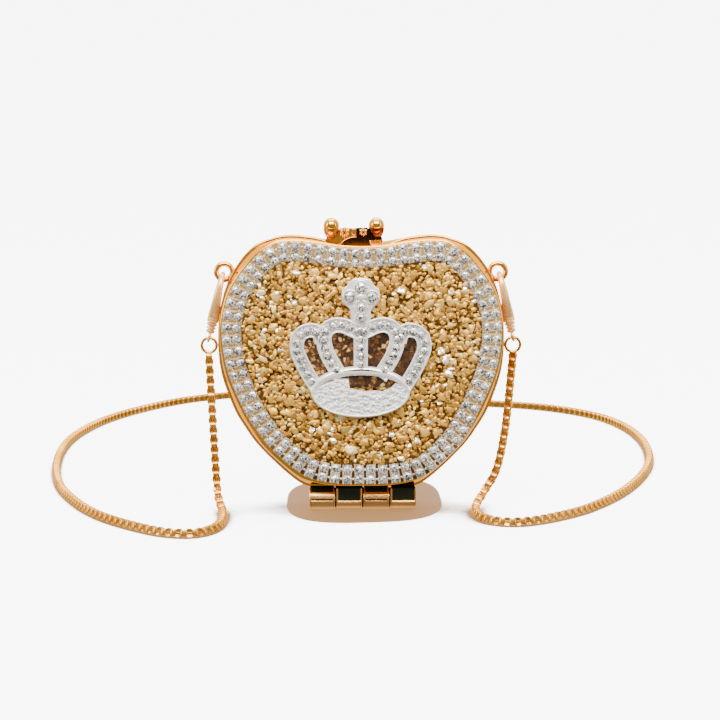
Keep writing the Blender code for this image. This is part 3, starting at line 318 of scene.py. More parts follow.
def painted_shade_backing():
    """Painted shade under the crown: brown crumbs in shade, each a cell with its own brown, darker at its
    edges.
    """
    finish = Finish("painted_shade_backing", Metallic=0.4, Coat_Weight=0.3, Coat_Roughness=0.10)
    where = finish.place()
    cells = finish.node("TexVoronoi", {"feature": "F1"}, {"Vector": where, "Scale": 520.0}, 1)
    edges = finish.node("TexVoronoi", {"feature": "DISTANCE_TO_EDGE"}, {"Vector": where, "Scale": 520.0})
    grain = finish.noise(1100.0, 3.0)
    brown = finish.node("SeparateXYZ", {}, {"Vector": cells}) * (0.35 + 0.65 * edges.above(0.10, 0.08))
    finish.set(
        Base_Color=finish.ramp(brown + 0.2 * (grain - 0.5), [
            (0.0, (0.020, 0.007, 0.001)), (0.45, (0.11, 0.042, 0.007)), (0.80, (0.34, 0.15, 0.030)),
            (1.0, (0.80, 0.48, 0.15)),
        ]),
        Roughness=0.25 + 0.2 * grain,
        Normal=finish.bump(brown + 0.3 * grain, 0.00030, 0.8),
    )
    return finish.material


def border_gold():
    """Satin gold of the band under the stones, with painted shade: dark brown towards the foot of the case.
    """
    finish = Finish("border_gold", Metallic=0.9)
    height = finish.node("SeparateXYZ", {}, {"Vector": finish.place()}, 2)
    stains = finish.noise(160.0, 4.0)
    # painted shade: below this height the band turns dark brown
    out_of_foot_shade = (height + 0.02 * (stains - 0.5)).above(0.036, 0.016)
    gold = finish.mix(stains, (0.96, 0.60, 0.19), (0.80, 0.44, 0.10))
    finish.set(
        Base_Color=finish.mix(out_of_foot_shade, (0.11, 0.050, 0.012), gold),
        Roughness=0.30 + 0.12 * stains,
        Normal=finish.bump(stains, 0.00005, 0.4),
    )
    return finish.material


def painted_shade_felt():
    """Painted shade: matt dark felt over and between the knuckles, where shade falls."""
    finish = Finish("painted_shade_felt", Specular_IOR_Level=0.0)
    fibres = finish.noise(1800.0, 3.0)
    finish.set(
        Base_Color=finish.mix(fibres, (0.004, 0.0025, 0.0015), (0.016, 0.010, 0.006)),
        Roughness=0.85 + 0.1 * fibres,
    )
    return finish.material


GOLD = plated_metal("polished_gold", (0.97, 0.46, 0.060), (0.88, 0.37, 0.038), 0.12)
LOCK_GOLD = plated_metal("lock_gold", (0.88, 0.46, 0.060), (0.62, 0.30, 0.026), 0.12)
LOCK_CUP = plated_metal("lock_cup_gold", (0.66, 0.34, 0.030), (0.48, 0.22, 0.016), 0.20)
# painted shade: a darker copy of the cup gold, for the back cup in shade
LOCK_CUP_SHADE = plated_metal("lock_cup_painted_shade", (0.20, 0.062, 0.014), (0.12, 0.036, 0.008), 0.20)
HINGE_GOLD = plated_metal("hinge_gold", (0.93, 0.48, 0.15), (0.82, 0.38, 0.10), 0.26)
ROSE_GOLD = plated_metal("rose_gold", (0.98, 0.62, 0.24), (0.95, 0.54, 0.18), 0.24, 0.62)
CHAIN_GOLD = plated_metal("chain_gold", (0.86, 0.41, 0.075), (0.60, 0.26, 0.035), 0.24, 0.95)
# painted shade: a darker copy of the chain gold for the links' insides
CHAIN_INSIDE_SHADE = plated_metal("chain_inside_painted_shade", (0.50, 0.24, 0.040), (0.32, 0.14, 0.020), 0.40)
# dark bronze: the front flower's middle, and painted shade on the back clasp arm
BRONZE_AND_SHADE = plated_metal("dark_bronze_and_painted_shade", (0.050, 0.026, 0.006), (0.028, 0.013, 0.003), 0.16)
DARK_SILVER = plated_metal("painted_reflection_silver", (0.16, 0.16, 0.165), (0.06, 0.06, 0.065), 0.25)
SILVER = plated_metal("crown_silver", (0.98, 0.95, 0.92), (0.86, 0.81, 0.75), 0.16, 0.42)
CUP_SILVER = plated_metal("cup_silver", (0.96, 0.86, 0.69), (0.72, 0.57, 0.38), 0.20, 0.65)
BORDER_GOLD = border_gold()
SHADE_FELT = painted_shade_felt()
FROSTED = frosted_silver()
CHIPS = chip_finish()
STONES = stone_finish()
LINING = lining_cloth()
ENAMEL_AND_SHADE = dark_enamel_and_shade()
SHADE_BACKING = painted_shade_backing()


# Surfaces from arrays

def full_turn(steps, shift=0.0):
    """Equal angles round a full turn, from a shift given in steps."""
    return (np.arange(steps) + shift) * 2 * math.pi / steps


def quads(rows, columns, wrap_rows=False, start=0):
    """Corner numbers of the quads between neighbouring rows of a grid, whose columns go round."""
    down = np.arange(rows if wrap_rows else rows - 1)
    row, column = np.meshgrid(down, np.arange(columns), indexing="ij")
    next_row = (row + 1) % rows
    next_column = (column + 1) % columns
    corners = np.stack([
        row * columns + column, row * columns + next_column,
        next_row * columns + next_column, next_row * columns + column,
    ], axis=-1)
    return corners.reshape(-1, 4) + start


def volume_sign(points, faces):
    """The sign of the volume that triangles or quads enclose: below zero when they face inwards."""
    a, b, c = (points[faces[:, index]] for index in (0, 1, 2))
    total = np.einsum("ij,ij->", a, np.cross(b, c))
    if faces.shape[1] == 4:
        total += np.einsum("ij,ij->", a, np.cross(c, points[faces[:, 3]]))
    return total


def piece(name, points, faces, material, body, slot, node=(), smooth=True, angle=40, tones=None):
    """Make a piece from its points and a list of face arrays, and let it ride on its body."""
    points = np.asarray(points, dtype=float).reshape(-1, 3)
    arrays = faces if isinstance(faces, list) else [faces]
    mesh = bpy.data.meshes.new(name)
    mesh.vertices.add(len(points))
    mesh.vertices.foreach_set("co", points.astype(np.float32).ravel())
    sizes = np.concatenate([np.full(len(array), array.shape[1]) for array in arrays])
    corners = np.concatenate([array.ravel() for array in arrays])
    starts = np.concatenate([[0], np.cumsum(sizes)[:-1]])
    mesh.loops.add(len(corners))
    mesh.loops.foreach_set("vertex_index", corners.astype(np.int32))
    mesh.polygons.add(len(sizes))
    mesh.polygons.foreach_set("loop_start", starts.astype(np.int32))
    mesh.polygons.foreach_set("loop_total", sizes.astype(np.int32))
    mesh.update(calc_edges=True)
    mesh.validate()
    if tones is not None:
        mesh.attributes.new("tone", "FLOAT", "FACE").data.foreach_set("value", tones.astype(np.float32))
    if smooth:
        mesh.shade_smooth()
        mesh.set_sharp_from_angle(angle=math.radians(angle))
    mesh.materials.append(material)
    obj = bpy.data.objects.new(name, mesh)
    bpy.context.scene.collection.objects.link(obj)
    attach(obj, body)
    if node:
        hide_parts(*([node] if isinstance(node, str) else node))
    return obj


def closed_skin(grid, wrap_rows=False):
    """A grid of rings as points and faces that point outwards, with its two ends closed."""
    rows, columns, _ = grid.shape
    points = grid.reshape(-1, 3)
    sides = quads(rows, columns, wrap_rows)
    arrays = [sides]
    if not wrap_rows:
        arrays.append(np.arange(columns)[None, ::-1])
        arrays.append(np.arange(columns)[None, :] + (rows - 1) * columns)
    centred = points - points.mean(axis=0)
    total = volume_sign(centred, sides)
    for cap in arrays[1:]:
        ring = centred[cap[0]]
        middle = np.broadcast_to(ring.mean(axis=0), ring.shape)
        total += np.einsum("ij,ij->", middle, np.cross(ring, np.roll(ring, -1, axis=0)))
    if total < 0:
        arrays = [array[:, ::-1] for array in arrays]
    return points, arrays


def joined(parts):
    """Several (points, face arrays) as one."""
    points = []
    arrays = []
    start = 0
    for part_points, part_arrays in parts:
        points.append(part_points)
        arrays += [array + start for array in part_arrays]
        start += len(part_points)
    return np.concatenate(points), arrays


CURVE_STEPS = 24


def smooth_path(points, samples, closed=False):
    """A Catmull-Rom curve through the points, read at equal steps along its length."""
    points = np.asarray(points, dtype=float)
    if closed:
        ends = np.concatenate([points[-1:], points, points[:2]])
    else:
        ends = np.concatenate([2 * points[:1] - points[1:2], points, 2 * points[-1:] - points[-2:-1]])
    t = np.linspace(0.0, 1.0, CURVE_STEPS, endpoint=False)[None, :, None]
    p0, p1, p2, p3 = (ends[i:len(ends) - 3 + i, None, :] for i in range(4))
    dense = 0.5 * (
        2 * p1 + (p2 - p0) * t + (2 * p0 - 5 * p1 + 4 * p2 - p3) * t**2
        + (3 * p1 - p0 - 3 * p2 + p3) * t**3
    )
    dense = dense.reshape(-1, points.shape[1])
    dense = np.concatenate([dense, dense[:1] if closed else points[-1:]])
    along = np.concatenate([[0.0], np.cumsum(np.linalg.norm(np.diff(dense, axis=0), axis=1))])
    places = np.linspace(0.0, along[-1], samples, endpoint=not closed)
    return np.stack([np.interp(places, along, dense[:, axis]) for axis in range(dense.shape[1])], axis=1)


def path_frames(path, normal, closed=False):
    """Tangents, normals and binormals along a path: each normal is the last one, turned with it."""
    if closed:
        tangents = np.roll(path, -1, axis=0) - np.roll(path, 1, axis=0)
    else:
        tangents = np.gradient(path, axis=0)
    tangents /= np.linalg.norm(tangents, axis=1)[:, None]
    normals = np.empty_like(tangents)
    current = np.asarray(normal, dtype=float)
    for index, tangent in enumerate(tangents):
        current = current - tangent * current.dot(tangent)
        current /= np.linalg.norm(current)
        normals[index] = current
    return tangents, normals, np.cross(tangents, normals)


OUT = np.array([0.0, -1.0, 0.0])


def tube(path, radius, sides=16, normal=OUT, closed=False, breadth=None):
    """Rings about a path: radius along the normal, breadth along the binormal, both may vary."""
    path = np.asarray(path, dtype=float)
    _, normals, binormals = path_frames(path, normal, closed)
    turn = full_turn(sides)
    first = np.broadcast_to(np.asarray(radius, dtype=float), (len(path),))[:, None, None]
    second = first if breadth is None else np.broadcast_to(breadth, (len(path),))[:, None, None]
    rings = (
        path[:, None, :] + first * np.cos(turn)[None, :, None] * normals[:, None, :]
        + second * np.sin(turn)[None, :, None] * binormals[:, None, :]
    )
    return closed_skin(rings, wrap_rows=closed)


LEAST_RADIUS = 0.00001


def turned(profile, centre, axis=(0.0, 0.0, 1.0), *, sides):
    """A profile of (height, radius) turned about an axis through the centre."""
    profile = np.asarray(profile, dtype=float)
    axis = np.asarray(axis, dtype=float) / np.linalg.norm(axis)
    across = np.cross(axis, (0.0, 1.0, 0.0) if abs(axis[1]) < 0.9 else (1.0, 0.0, 0.0))
    across /= np.linalg.norm(across)
    other = np.cross(axis, across)
    turn = full_turn(sides)
    radial = np.cos(turn)[:, None] * across + np.sin(turn)[:, None] * other
    rings = (
        np.asarray(centre) + profile[:, :1, None] * axis
        + np.maximum(profile[:, 1], LEAST_RADIUS)[:, None, None] * radial[None]
    )
    return closed_skin(rings)


def rounded_plate(outline, middle_y, thickness, edge, steps=3):
    """An outline in X and Z across Y, whose edges are quarter circles: each ring is drawn in by
    edge times one minus the sine of the angle, and set back by edge times one minus its cosine."""
    outline = np.asarray(outline, dtype=float)
    along = np.roll(outline, -1, axis=0) - np.roll(outline, 1, axis=0)
    along /= np.maximum(np.linalg.norm(along, axis=1), 1e-12)[:, None]
    after = np.roll(outline, -1, axis=0)
    area = 0.5 * np.sum(outline[:, 0] * after[:, 1] - after[:, 0] * outline[:, 1])
    inward = np.stack([-along[:, 1], along[:, 0]], axis=1) * (1 if area > 0 else -1)
    angles = np.linspace(0.0, math.pi / 2, steps + 1)
    draws = [(edge * (1 - math.sin(a)), thickness / 2 - edge * (1 - math.cos(a))) for a in angles]
    stations = [(draw, -reach) for draw, reach in draws] + [(draw, reach) for draw, reach in draws[::-1]]
    rings = np.empty((len(stations), len(outline), 3))
    for index, (draw, reach) in enumerate(stations):
        moved = outline + inward * draw
        rings[index, :, 0] = moved[:, 0]
        rings[index, :, 1] = middle_y + reach
        rings[index, :, 2] = moved[:, 1]
    return closed_skin(rings)


CASE_STEPS = 480


def case_outline(inset, steps, face_share):
    """The case's outline in X and Z, drawn in by inset along its normals: the seam's outline at a
    face share of 0, the face's at 1."""
    shares = np.array(OUTLINE)
    shares = np.concatenate([shares, shares[-2:0:-1] * (-1, 1, -1, 1)])
    both = smooth_path(shares * (HALF_WIDTH, CASE_HEIGHT, HALF_WIDTH, CASE_HEIGHT), steps, closed=True)
    points = both[:, :2] * (1 - face_share) + both[:, 2:] * face_share
    points[:, 1] = np.maximum(points[:, 1], 0.0)
    along = np.roll(points, -1, axis=0) - np.roll(points, 1, axis=0)
    along /= np.linalg.norm(along, axis=1)[:, None]
    points = points + np.stack([-along[:, 1], along[:, 0]], axis=1) * inset
    points[:, 1] += CASE_BOTTOM_Z
    return points


def case_ring(side, inset, depth, steps=CASE_STEPS):
    """The outline at a depth from the seam: the wall runs from the seam's outline to the face's."""
    wall_depth = min(max(depth, SHELL_START), WALL_DEPTH) - SHELL_START
    outline = case_outline(inset, steps, wall_depth / (WALL_DEPTH - SHELL_START))
    return np.stack([outline[:, 0], np.full(steps, SEAM_Y + side * depth), outline[:, 1]], axis=1)


STEPS_PER_PAIR = 8
DENSE_STEPS = BORDER_PAIRS * 40


def border_ring(side, inset, depth, count=BORDER_PAIRS * STEPS_PER_PAIR):
    """A ring of the stone border, at equal steps along the border's middle. The border was laid by
    hand: towards the foot it lies to one side, by a share that falls with the height squared."""
    middle = case_ring(side, BORDER_INSET + BORDER_WIDTH / 2, depth, DENSE_STEPS)
    lengths = np.linalg.norm(np.roll(middle, -1, axis=0) - middle, axis=1)
    along = np.cumsum(lengths) - lengths
    ring = case_ring(side, inset, depth, DENSE_STEPS)[
        np.searchsorted(along, np.arange(count) * lengths.sum() / count)
    ]
    height_share = (ring[:, 2] - CASE_BOTTOM_Z) / CASE_HEIGHT
    ring[:, 0] += BORDER_SIDESTEP * np.maximum(1 - (height_share / BORDER_SIDESTEP_SHARE) ** 2, 0.0)
    return ring


def quarter(inset, depth, radius, start, end, count=5):
    """Points of an arc in the plane of inset and depth, between two angles in degrees."""
    angles = np.radians(np.linspace(start, end, count))
    return [(inset - radius * math.cos(a), depth + radius * math.sin(a)) for a in angles]


# Camera

CAMERA_DISTANCE = 0.820
CAMERA_HEIGHT = 0.1745
CAMERA_SIDESTEP = -0.0006
CAMERA_YAW = math.radians(1.2)
CAMERA_PITCH_DEG = 7.35
LENS_MM = 91.15
SENSOR_MM = 36.0


def add_camera():
    """The photograph's view: in front of the case, a little above and to its left."""
    data = bpy.data.cameras.new("camera")
    data.lens = LENS_MM
    data.sensor_width = SENSOR_MM
    camera = bpy.data.objects.new("camera", data)
    camera.location = (
        CAMERA_SIDESTEP - CAMERA_DISTANCE * math.sin(CAMERA_YAW), -CAMERA_DISTANCE * math.cos(CAMERA_YAW),
        CAMERA_HEIGHT,
    )
    camera.rotation_euler = (math.radians(90 - CAMERA_PITCH_DEG), 0.0, -CAMERA_YAW)
    bpy.context.scene.collection.objects.link(camera)
    bpy.context.scene.camera = camera


add_camera()


# Chain

CHAIN_LEFT_ROUTE = (
    (0.0002, 0.0000, 1.0), (-0.0024, -0.0017, 0.278), (-0.0038, -0.0059, 0.066),
    (-0.0063, -0.0165, 0.0), (-0.0070, -0.0356, 0.0), (-0.0042, -0.0510, 0.0),
    (0.0029, -0.0602, 0.0), (0.0124, -0.0602, 0.0), (0.0228, -0.0534, 0.0),
    (0.0377, -0.0376, 0.0), (0.0505, -0.0194, 0.0), (0.0625, 0.0059, 0.0),
    (0.0752, 0.0442, 0.0), (0.0844, 0.0944, 0.0), (0.0887, 0.1505, 0.0), (0.0860, 0.1984, 0.0),
    (0.0755, 0.2462, 0.0), (0.0571, 0.2874, 0.0), (0.0324, 0.3223, 0.0), (-0.0021, 0.3446, 0.0),
    (-0.0411, 0.3458, 0.0),
)
CHAIN_RIGHT_ROUTE = (
    (-0.0469, 0.3288, 0.0), (0.0077, 0.3056, 0.0), (0.0482, 0.2858, 0.0), (0.0743, 0.2554, 0.0),
    (0.0868, 0.2159, 0.0), (0.0898, 0.1659, 0.0), (0.0841, 0.1120, 0.0), (0.0722, 0.0662, 0.0),
    (0.0547, 0.0226, 0.0), (0.0345, -0.0115, 0.0), (0.0171, -0.0302, 0.0),
    (0.0024, -0.0403, 0.0), (-0.0096, -0.0396, 0.0), (-0.0168, -0.0279, 0.0),
    (-0.0173, -0.0118, 0.01), (-0.0128, -0.0034, 0.084), (-0.0068, -0.0009, 0.233),
    (-0.0028, -0.0001, 0.527), (0.0002, 0.0000, 1.0),
)
RING_X = 0.0690197
RING_Z = 0.0752995
RING_RADIUS = 0.00335
RING_WIRE = 0.00045
LINK_PITCH = 0.00225
LINK_OUTER = 0.0020
LINK_BAND = 0.00140
LINK_THICKNESS = 0.00125
LINK_SIDES = 12
LINK_SQUARENESS = 0.86
LINK_INNER_SHARE = (LINK_OUTER - LINK_THICKNESS) / LINK_OUTER
LINK_BAND_SECTION = (
    (LINK_INNER_SHARE, -0.80), (0.88, -1.0), (1.02, 0.0), (0.88, 1.0), (LINK_INNER_SHARE, 0.80),
    (LINK_INNER_SHARE * 0.96, 0.0),
)
LINK_CORE_RADIUS = 0.00115
CHAIN_SAMPLES = 2400


def chain_path():
    """The chain's centreline: the route of the source, read closely from the same smooth curve."""
    top = RING_Z - RING_RADIUS - RING_WIRE - CLEAR
    route = []
    for side, table in ((-1, CHAIN_LEFT_ROUTE), (1, CHAIN_RIGHT_ROUTE)):
        for outward, behind, share in table:
            route.append((side * (RING_X + outward), STRAP_Y + behind, CHAIN_LOW + share * (top - CHAIN_LOW)))
    path = smooth_path(route, CHAIN_SAMPLES)
    path[:, 2] = np.maximum(path[:, 2], CHAIN_LOW)
    return path


def add_chain():
    """Box chain: every link is a rounded square loop of broad band, a quarter turn from the last.
    A link's loop is a superellipse along the chain and across it, and its band a flat hexagon."""
    path = chain_path()
    length = float(np.linalg.norm(np.diff(path, axis=0), axis=1).sum())
    count = int(length / LINK_PITCH)
    along = np.concatenate([[0.0], np.cumsum(np.linalg.norm(np.diff(path, axis=0), axis=1))])
    places = np.linspace(LINK_PITCH / 2, length - LINK_PITCH / 2, count)
    centres = np.stack([np.interp(places, along, path[:, axis]) for axis in range(3)], axis=1)
    tangents, normals, binormals = path_frames(path, OUT)
    pick = np.searchsorted(along, places)
    t, n, b = tangents[pick], normals[pick], binormals[pick]
    odd = (np.arange(count) % 2)[:, None].astype(bool)
    side_way = np.where(odd, b, n)
    band_way = np.where(odd, n, b)

    turn = full_turn(LINK_SIDES, 0.5)
    shape = np.stack([
        np.sign(np.cos(turn)) * np.abs(np.cos(turn)) ** LINK_SQUARENESS,
        np.sign(np.sin(turn)) * np.abs(np.sin(turn)) ** LINK_SQUARENESS,
    ], axis=1)
    local = np.stack([
        np.concatenate([shape * LINK_OUTER * reach, np.full((LINK_SIDES, 1), offset * LINK_BAND)], axis=1)
        for reach, offset in LINK_BAND_SECTION
    ], axis=1)
    points = (
        centres[:, None, None, :]
        + local[None, ..., 0:1] * t[:, None, None, :]
        + local[None, ..., 1:2] * side_way[:, None, None, :]
        + local[None, ..., 2:3] * band_way[:, None, None, :]
    )
    one = quads(LINK_SIDES, len(LINK_BAND_SECTION), wrap_rows=True)
    link_points = LINK_SIDES * len(LINK_BAND_SECTION)
    if volume_sign(points[0].reshape(-1, 3) - centres[0], one) < 0:
        one = one[:, ::-1]
    even_faces = one[None] + (np.arange(0, count, 2) * link_points)[:, None, None]
    flip = volume_sign(points[1].reshape(-1, 3) - centres[1], one) < 0
    odd_faces = (one[:, ::-1] if flip else one)[None] + (np.arange(1, count, 2) * link_points)[:, None, None]
    faces = np.concatenate([even_faces.reshape(-1, 4), odd_faces.reshape(-1, 4)])
    chain = piece(
        "chain_links", points, faces, CHAIN_GOLD, "back_half", "chain_gold", "strap_chain", angle=42
    )
    # painted shade: a darker gold tube inside the links
    core = tube(path[::2], LINK_CORE_RADIUS, 8)
    piece("chain_link_insides", *core, CHAIN_INSIDE_SHADE, "back_half", "chain_gold", angle=80)


add_chain()


# Halves of the case

BEAD_ROUND = 0.0005
FACE_TURN_IN = 0.004
LINING_GAP = 0.0005
LINING_CORNER = 0.0018
LINING_FLOOR_REACH = 0.006
LINING_STEPS = 240


def add_frame_rim(word, side):
    """The polished rim at the seam: a bead whose outer corners are round, and its inner flange."""
    bead_end = SEAM_GAP + BEAD_DEPTH
    flange = SHELL_INSET + WALL + CLEAR
    profile = quarter(BEAD_ROUND, SEAM_GAP + BEAD_ROUND, BEAD_ROUND, -90, 0)
    profile += quarter(BEAD_ROUND, bead_end - BEAD_ROUND, BEAD_ROUND, 0, 90)
    profile += [(flange, bead_end), (flange, bead_end + FLANGE_REACH)]
    profile += [(flange + FLANGE_THICKNESS, bead_end + FLANGE_REACH), (flange + FLANGE_THICKNESS, SEAM_GAP)]
    grid = np.stack([case_ring(side, inset, depth) for inset, depth in profile])
    piece(word + "_rim", *closed_skin(grid, wrap_rows=True), GOLD, word + "_half", "gold", word + "_frame")


def add_case_shell(word, side):
    """The pressed half: the sheet's inner face and wall, its lip, and its outer wall, edge and face."""
    rows = [
        (EDGE_ROUND + FACE_TURN_IN, WALL_DEPTH - WALL), (WALL, WALL_DEPTH - WALL),
        (SHELL_INSET + WALL, SHELL_START), (SHELL_INSET, SHELL_START),
        (SHELL_INSET / 2, (SHELL_START + WALL_DEPTH - EDGE_ROUND) / 2),
    ]
    rows += quarter(EDGE_ROUND, WALL_DEPTH - EDGE_ROUND, EDGE_ROUND, 0, 90, 7)
    rows.append((EDGE_ROUND + FACE_TURN_IN, WALL_DEPTH))
    grid = np.stack([case_ring(side, draw, depth) for draw, depth in rows])
    piece(word + "_pressed_shell", *closed_skin(grid), GOLD, word + "_half", "gold", word + "_shell")


def add_case_lining(word, side):
    """A fabric tray: outer floor and wall, a rolled lip, inner wall and floor, with soft corners."""
    inset = SHELL_INSET + WALL + CLEAR + FLANGE_THICKNESS + LINING_GAP
    floor = WALL_DEPTH - WALL - LINING_GAP
    corner = LINING_CORNER
    rows = [(inset + LINING_FLOOR_REACH, floor)]
    rows += quarter(inset + corner, floor - corner, corner, 90, 0, 6)
    rows += quarter(inset + LINING_THICK / 2, LINING_LIP + LINING_THICK / 2, LINING_THICK / 2, 0, -180, 6)
    rows += quarter(inset + corner, floor - corner, corner - LINING_THICK, 0, 90, 6)
    rows.append((inset + LINING_FLOOR_REACH, floor - LINING_THICK))
    grid = np.stack([case_ring(side, draw, depth, LINING_STEPS) for draw, depth in rows])
    piece(word + "_satin_lining", *closed_skin(grid), LINING, word + "_half", "lining", word + "_lining")


for side_word, side_sign in (("front", FRONT), ("back", BACK)):
    add_frame_rim(side_word, side_sign)
    add_case_shell(side_word, side_sign)
    add_case_lining(side_word, side_sign)


# Stone border

STONE_RADIUS = 0.00216
STONE_HEIGHT = 0.00125
# painted reflections: the tones of the facets' colours, and how often each is taken
FACET_REFLECTION_TONES = (0.02, 0.22, 0.5, 0.8, 1.0)
FACET_SHARES = (0.20, 0.13, 0.11, 0.28, 0.28)
STONE_SIDES = 8
STONE_FACET_TURN = math.pi / STONE_SIDES
STONE_RINGS = (
    (0.56, 1.0, STONE_FACET_TURN), (0.86, 0.62, 0.0), (1.0, 0.12, STONE_FACET_TURN),
    (0.9, -0.30, STONE_FACET_TURN),
)
STONE_TABLE_RISE = 1.02
STONE_FOOT_RISE = -0.30
STONE_LEAN = 0.07
BAND_THICKNESS = 0.0007
BAND_EDGE = 0.0001
SEAT_RISE = 0.0010
CUP_RADIUS = STONE_RADIUS * 1.12
CUP_LIP = 0.0001
BRIDGE_RADIUS = 0.00070
PRONG_RADIUS = 0.00066
PRONG_FOOT = -0.0009
PRONG_TIP = 0.00085
PRONG_REACH = STONE_RADIUS * 0.80


def cut_stone(radius, height):
    """A round cut stone, as points and triangles: a table that mirrors the facets under it as a star
    of triangles, two rings of crown facets, a girdle and a flat foot."""
    turn = np.arange(STONE_SIDES) * 2 * STONE_FACET_TURN
    rings = [
        np.stack([reach * radius * np.cos(turn + shift), reach * radius * np.sin(turn + shift),
                  np.full(STONE_SIDES, rise * height)], axis=1)
        for reach, rise, shift in STONE_RINGS
    ]
    points = np.concatenate([
        *rings, [(0.0, 0.0, STONE_TABLE_RISE * height), (0.0, 0.0, STONE_FOOT_RISE * height)],
    ])
    here = np.arange(STONE_SIDES)
    after = (here + 1) % STONE_SIDES
    t, m, g, f = (here + STONE_SIDES * row for row in range(4))
    tn, mn, gn, fn = (after + STONE_SIDES * row for row in range(4))
    top, bottom = (np.full(STONE_SIDES, STONE_SIDES * 4 + k) for k in (0, 1))
    triangles = np.stack([
        (top, tn, t), (t, tn, mn), (t, mn, m), (m, mn, g), (mn, gn, g), (g, gn, fn), (g, fn, f),
        (bottom, f, fn),
    ])
    return points, triangles.transpose(0, 2, 1).reshape(-1, 3)[:, ::-1]


def turned_each(local, spin, tilt, lean):
    """Copies of local points, each spun about its own axis and then tilted a little."""
    cs, sn = np.cos(spin)[:, None], np.sin(spin)[:, None]
    x = cs * local[None, :, 0] - sn * local[None, :, 1]
    y = sn * local[None, :, 0] + cs * local[None, :, 1]
    z = np.broadcast_to(local[None, :, 2], x.shape)
    return np.stack([x, y, z + tilt[:, None] * x + lean[:, None] * y], axis=-1)


def set_in_place(local, centres, across, along, out):
    """Local points carried to their centres, on each one's three directions."""
    return (
        centres[:, None, :] + local[..., 0:1] * across[:, None, :]
        + local[..., 1:2] * along[:, None, :] + local[..., 2:3] * out[:, None, :]
    )


def repeat_faces(faces, count, size):
    """The faces of one shape of so many points, again for each of its copies."""
    return (faces[None] + (np.arange(count) * size)[:, None, None]).reshape(-1, faces.shape[1])


def facing_out(points, faces):
    """The faces of one closed copy, turned if they look inwards."""
    return faces[:, ::-1] if volume_sign(points - points.mean(axis=0), faces) < 0 else faces


def stone_pieces(name, centres, across, along, out, radii, body, seed):
    """Many cut stones as one piece. Facets take tones that are painted reflections: most bright, some grey
    and a few dark.
    """
    rng = np.random.default_rng(seed)
    count = len(centres)
    local, triangles = cut_stone(1.0, STONE_HEIGHT / STONE_RADIUS)
    spin, tilt, lean = rng.uniform(0, math.pi, count), *rng.normal(0, STONE_LEAN, (2, count))
    shaped = turned_each(local, spin, tilt, lean) * radii[:, None, None]
    points = set_in_place(shaped, centres, across, along, out)
    if np.dot(np.cross(across[0], along[0]), out[0]) < 0:
        triangles = triangles[:, ::-1]
    tones = rng.choice(FACET_REFLECTION_TONES, (count, len(triangles)), p=FACET_SHARES)
    faces = repeat_faces(triangles, count, len(local))
    piece(name, points, faces, STONES, body, "clear_stones", smooth=False, tones=tones.ravel())


def prism(radius, low, high, sides, narrow=1.0):
    """A closed prism about the third axis, narrower at its top, as points and faces."""
    turn = full_turn(sides, 0.5)
    ring = np.stack([np.cos(turn), np.sin(turn)], axis=1)
    points = np.concatenate([
        np.column_stack([ring * radius, np.full(sides, low)]),
        np.column_stack([ring * radius * narrow, np.full(sides, high)]),
    ])
    return points, [quads(2, sides), np.stack([np.arange(sides)[::-1], np.arange(sides) + sides])]


def many(name, shape, places, material, body, slot, smooth=False, angle=40):
    """Copies of one small closed shape, as one piece: its points and faces, and the copies' centres
    and three directions."""
    local, arrays = shape
    centres, across, along, out = places
    count = len(centres)
    points = set_in_place(np.broadcast_to(local, (count, *local.shape)), centres, across, along, out)
    if np.dot(np.cross(across[0], along[0]), out[0]) < 0:
        arrays = [array[:, ::-1] for array in arrays]
    arrays = [repeat_faces(array, count, len(local)) for array in arrays]
    piece(name, points, arrays, material, body, slot, smooth=smooth, angle=angle)


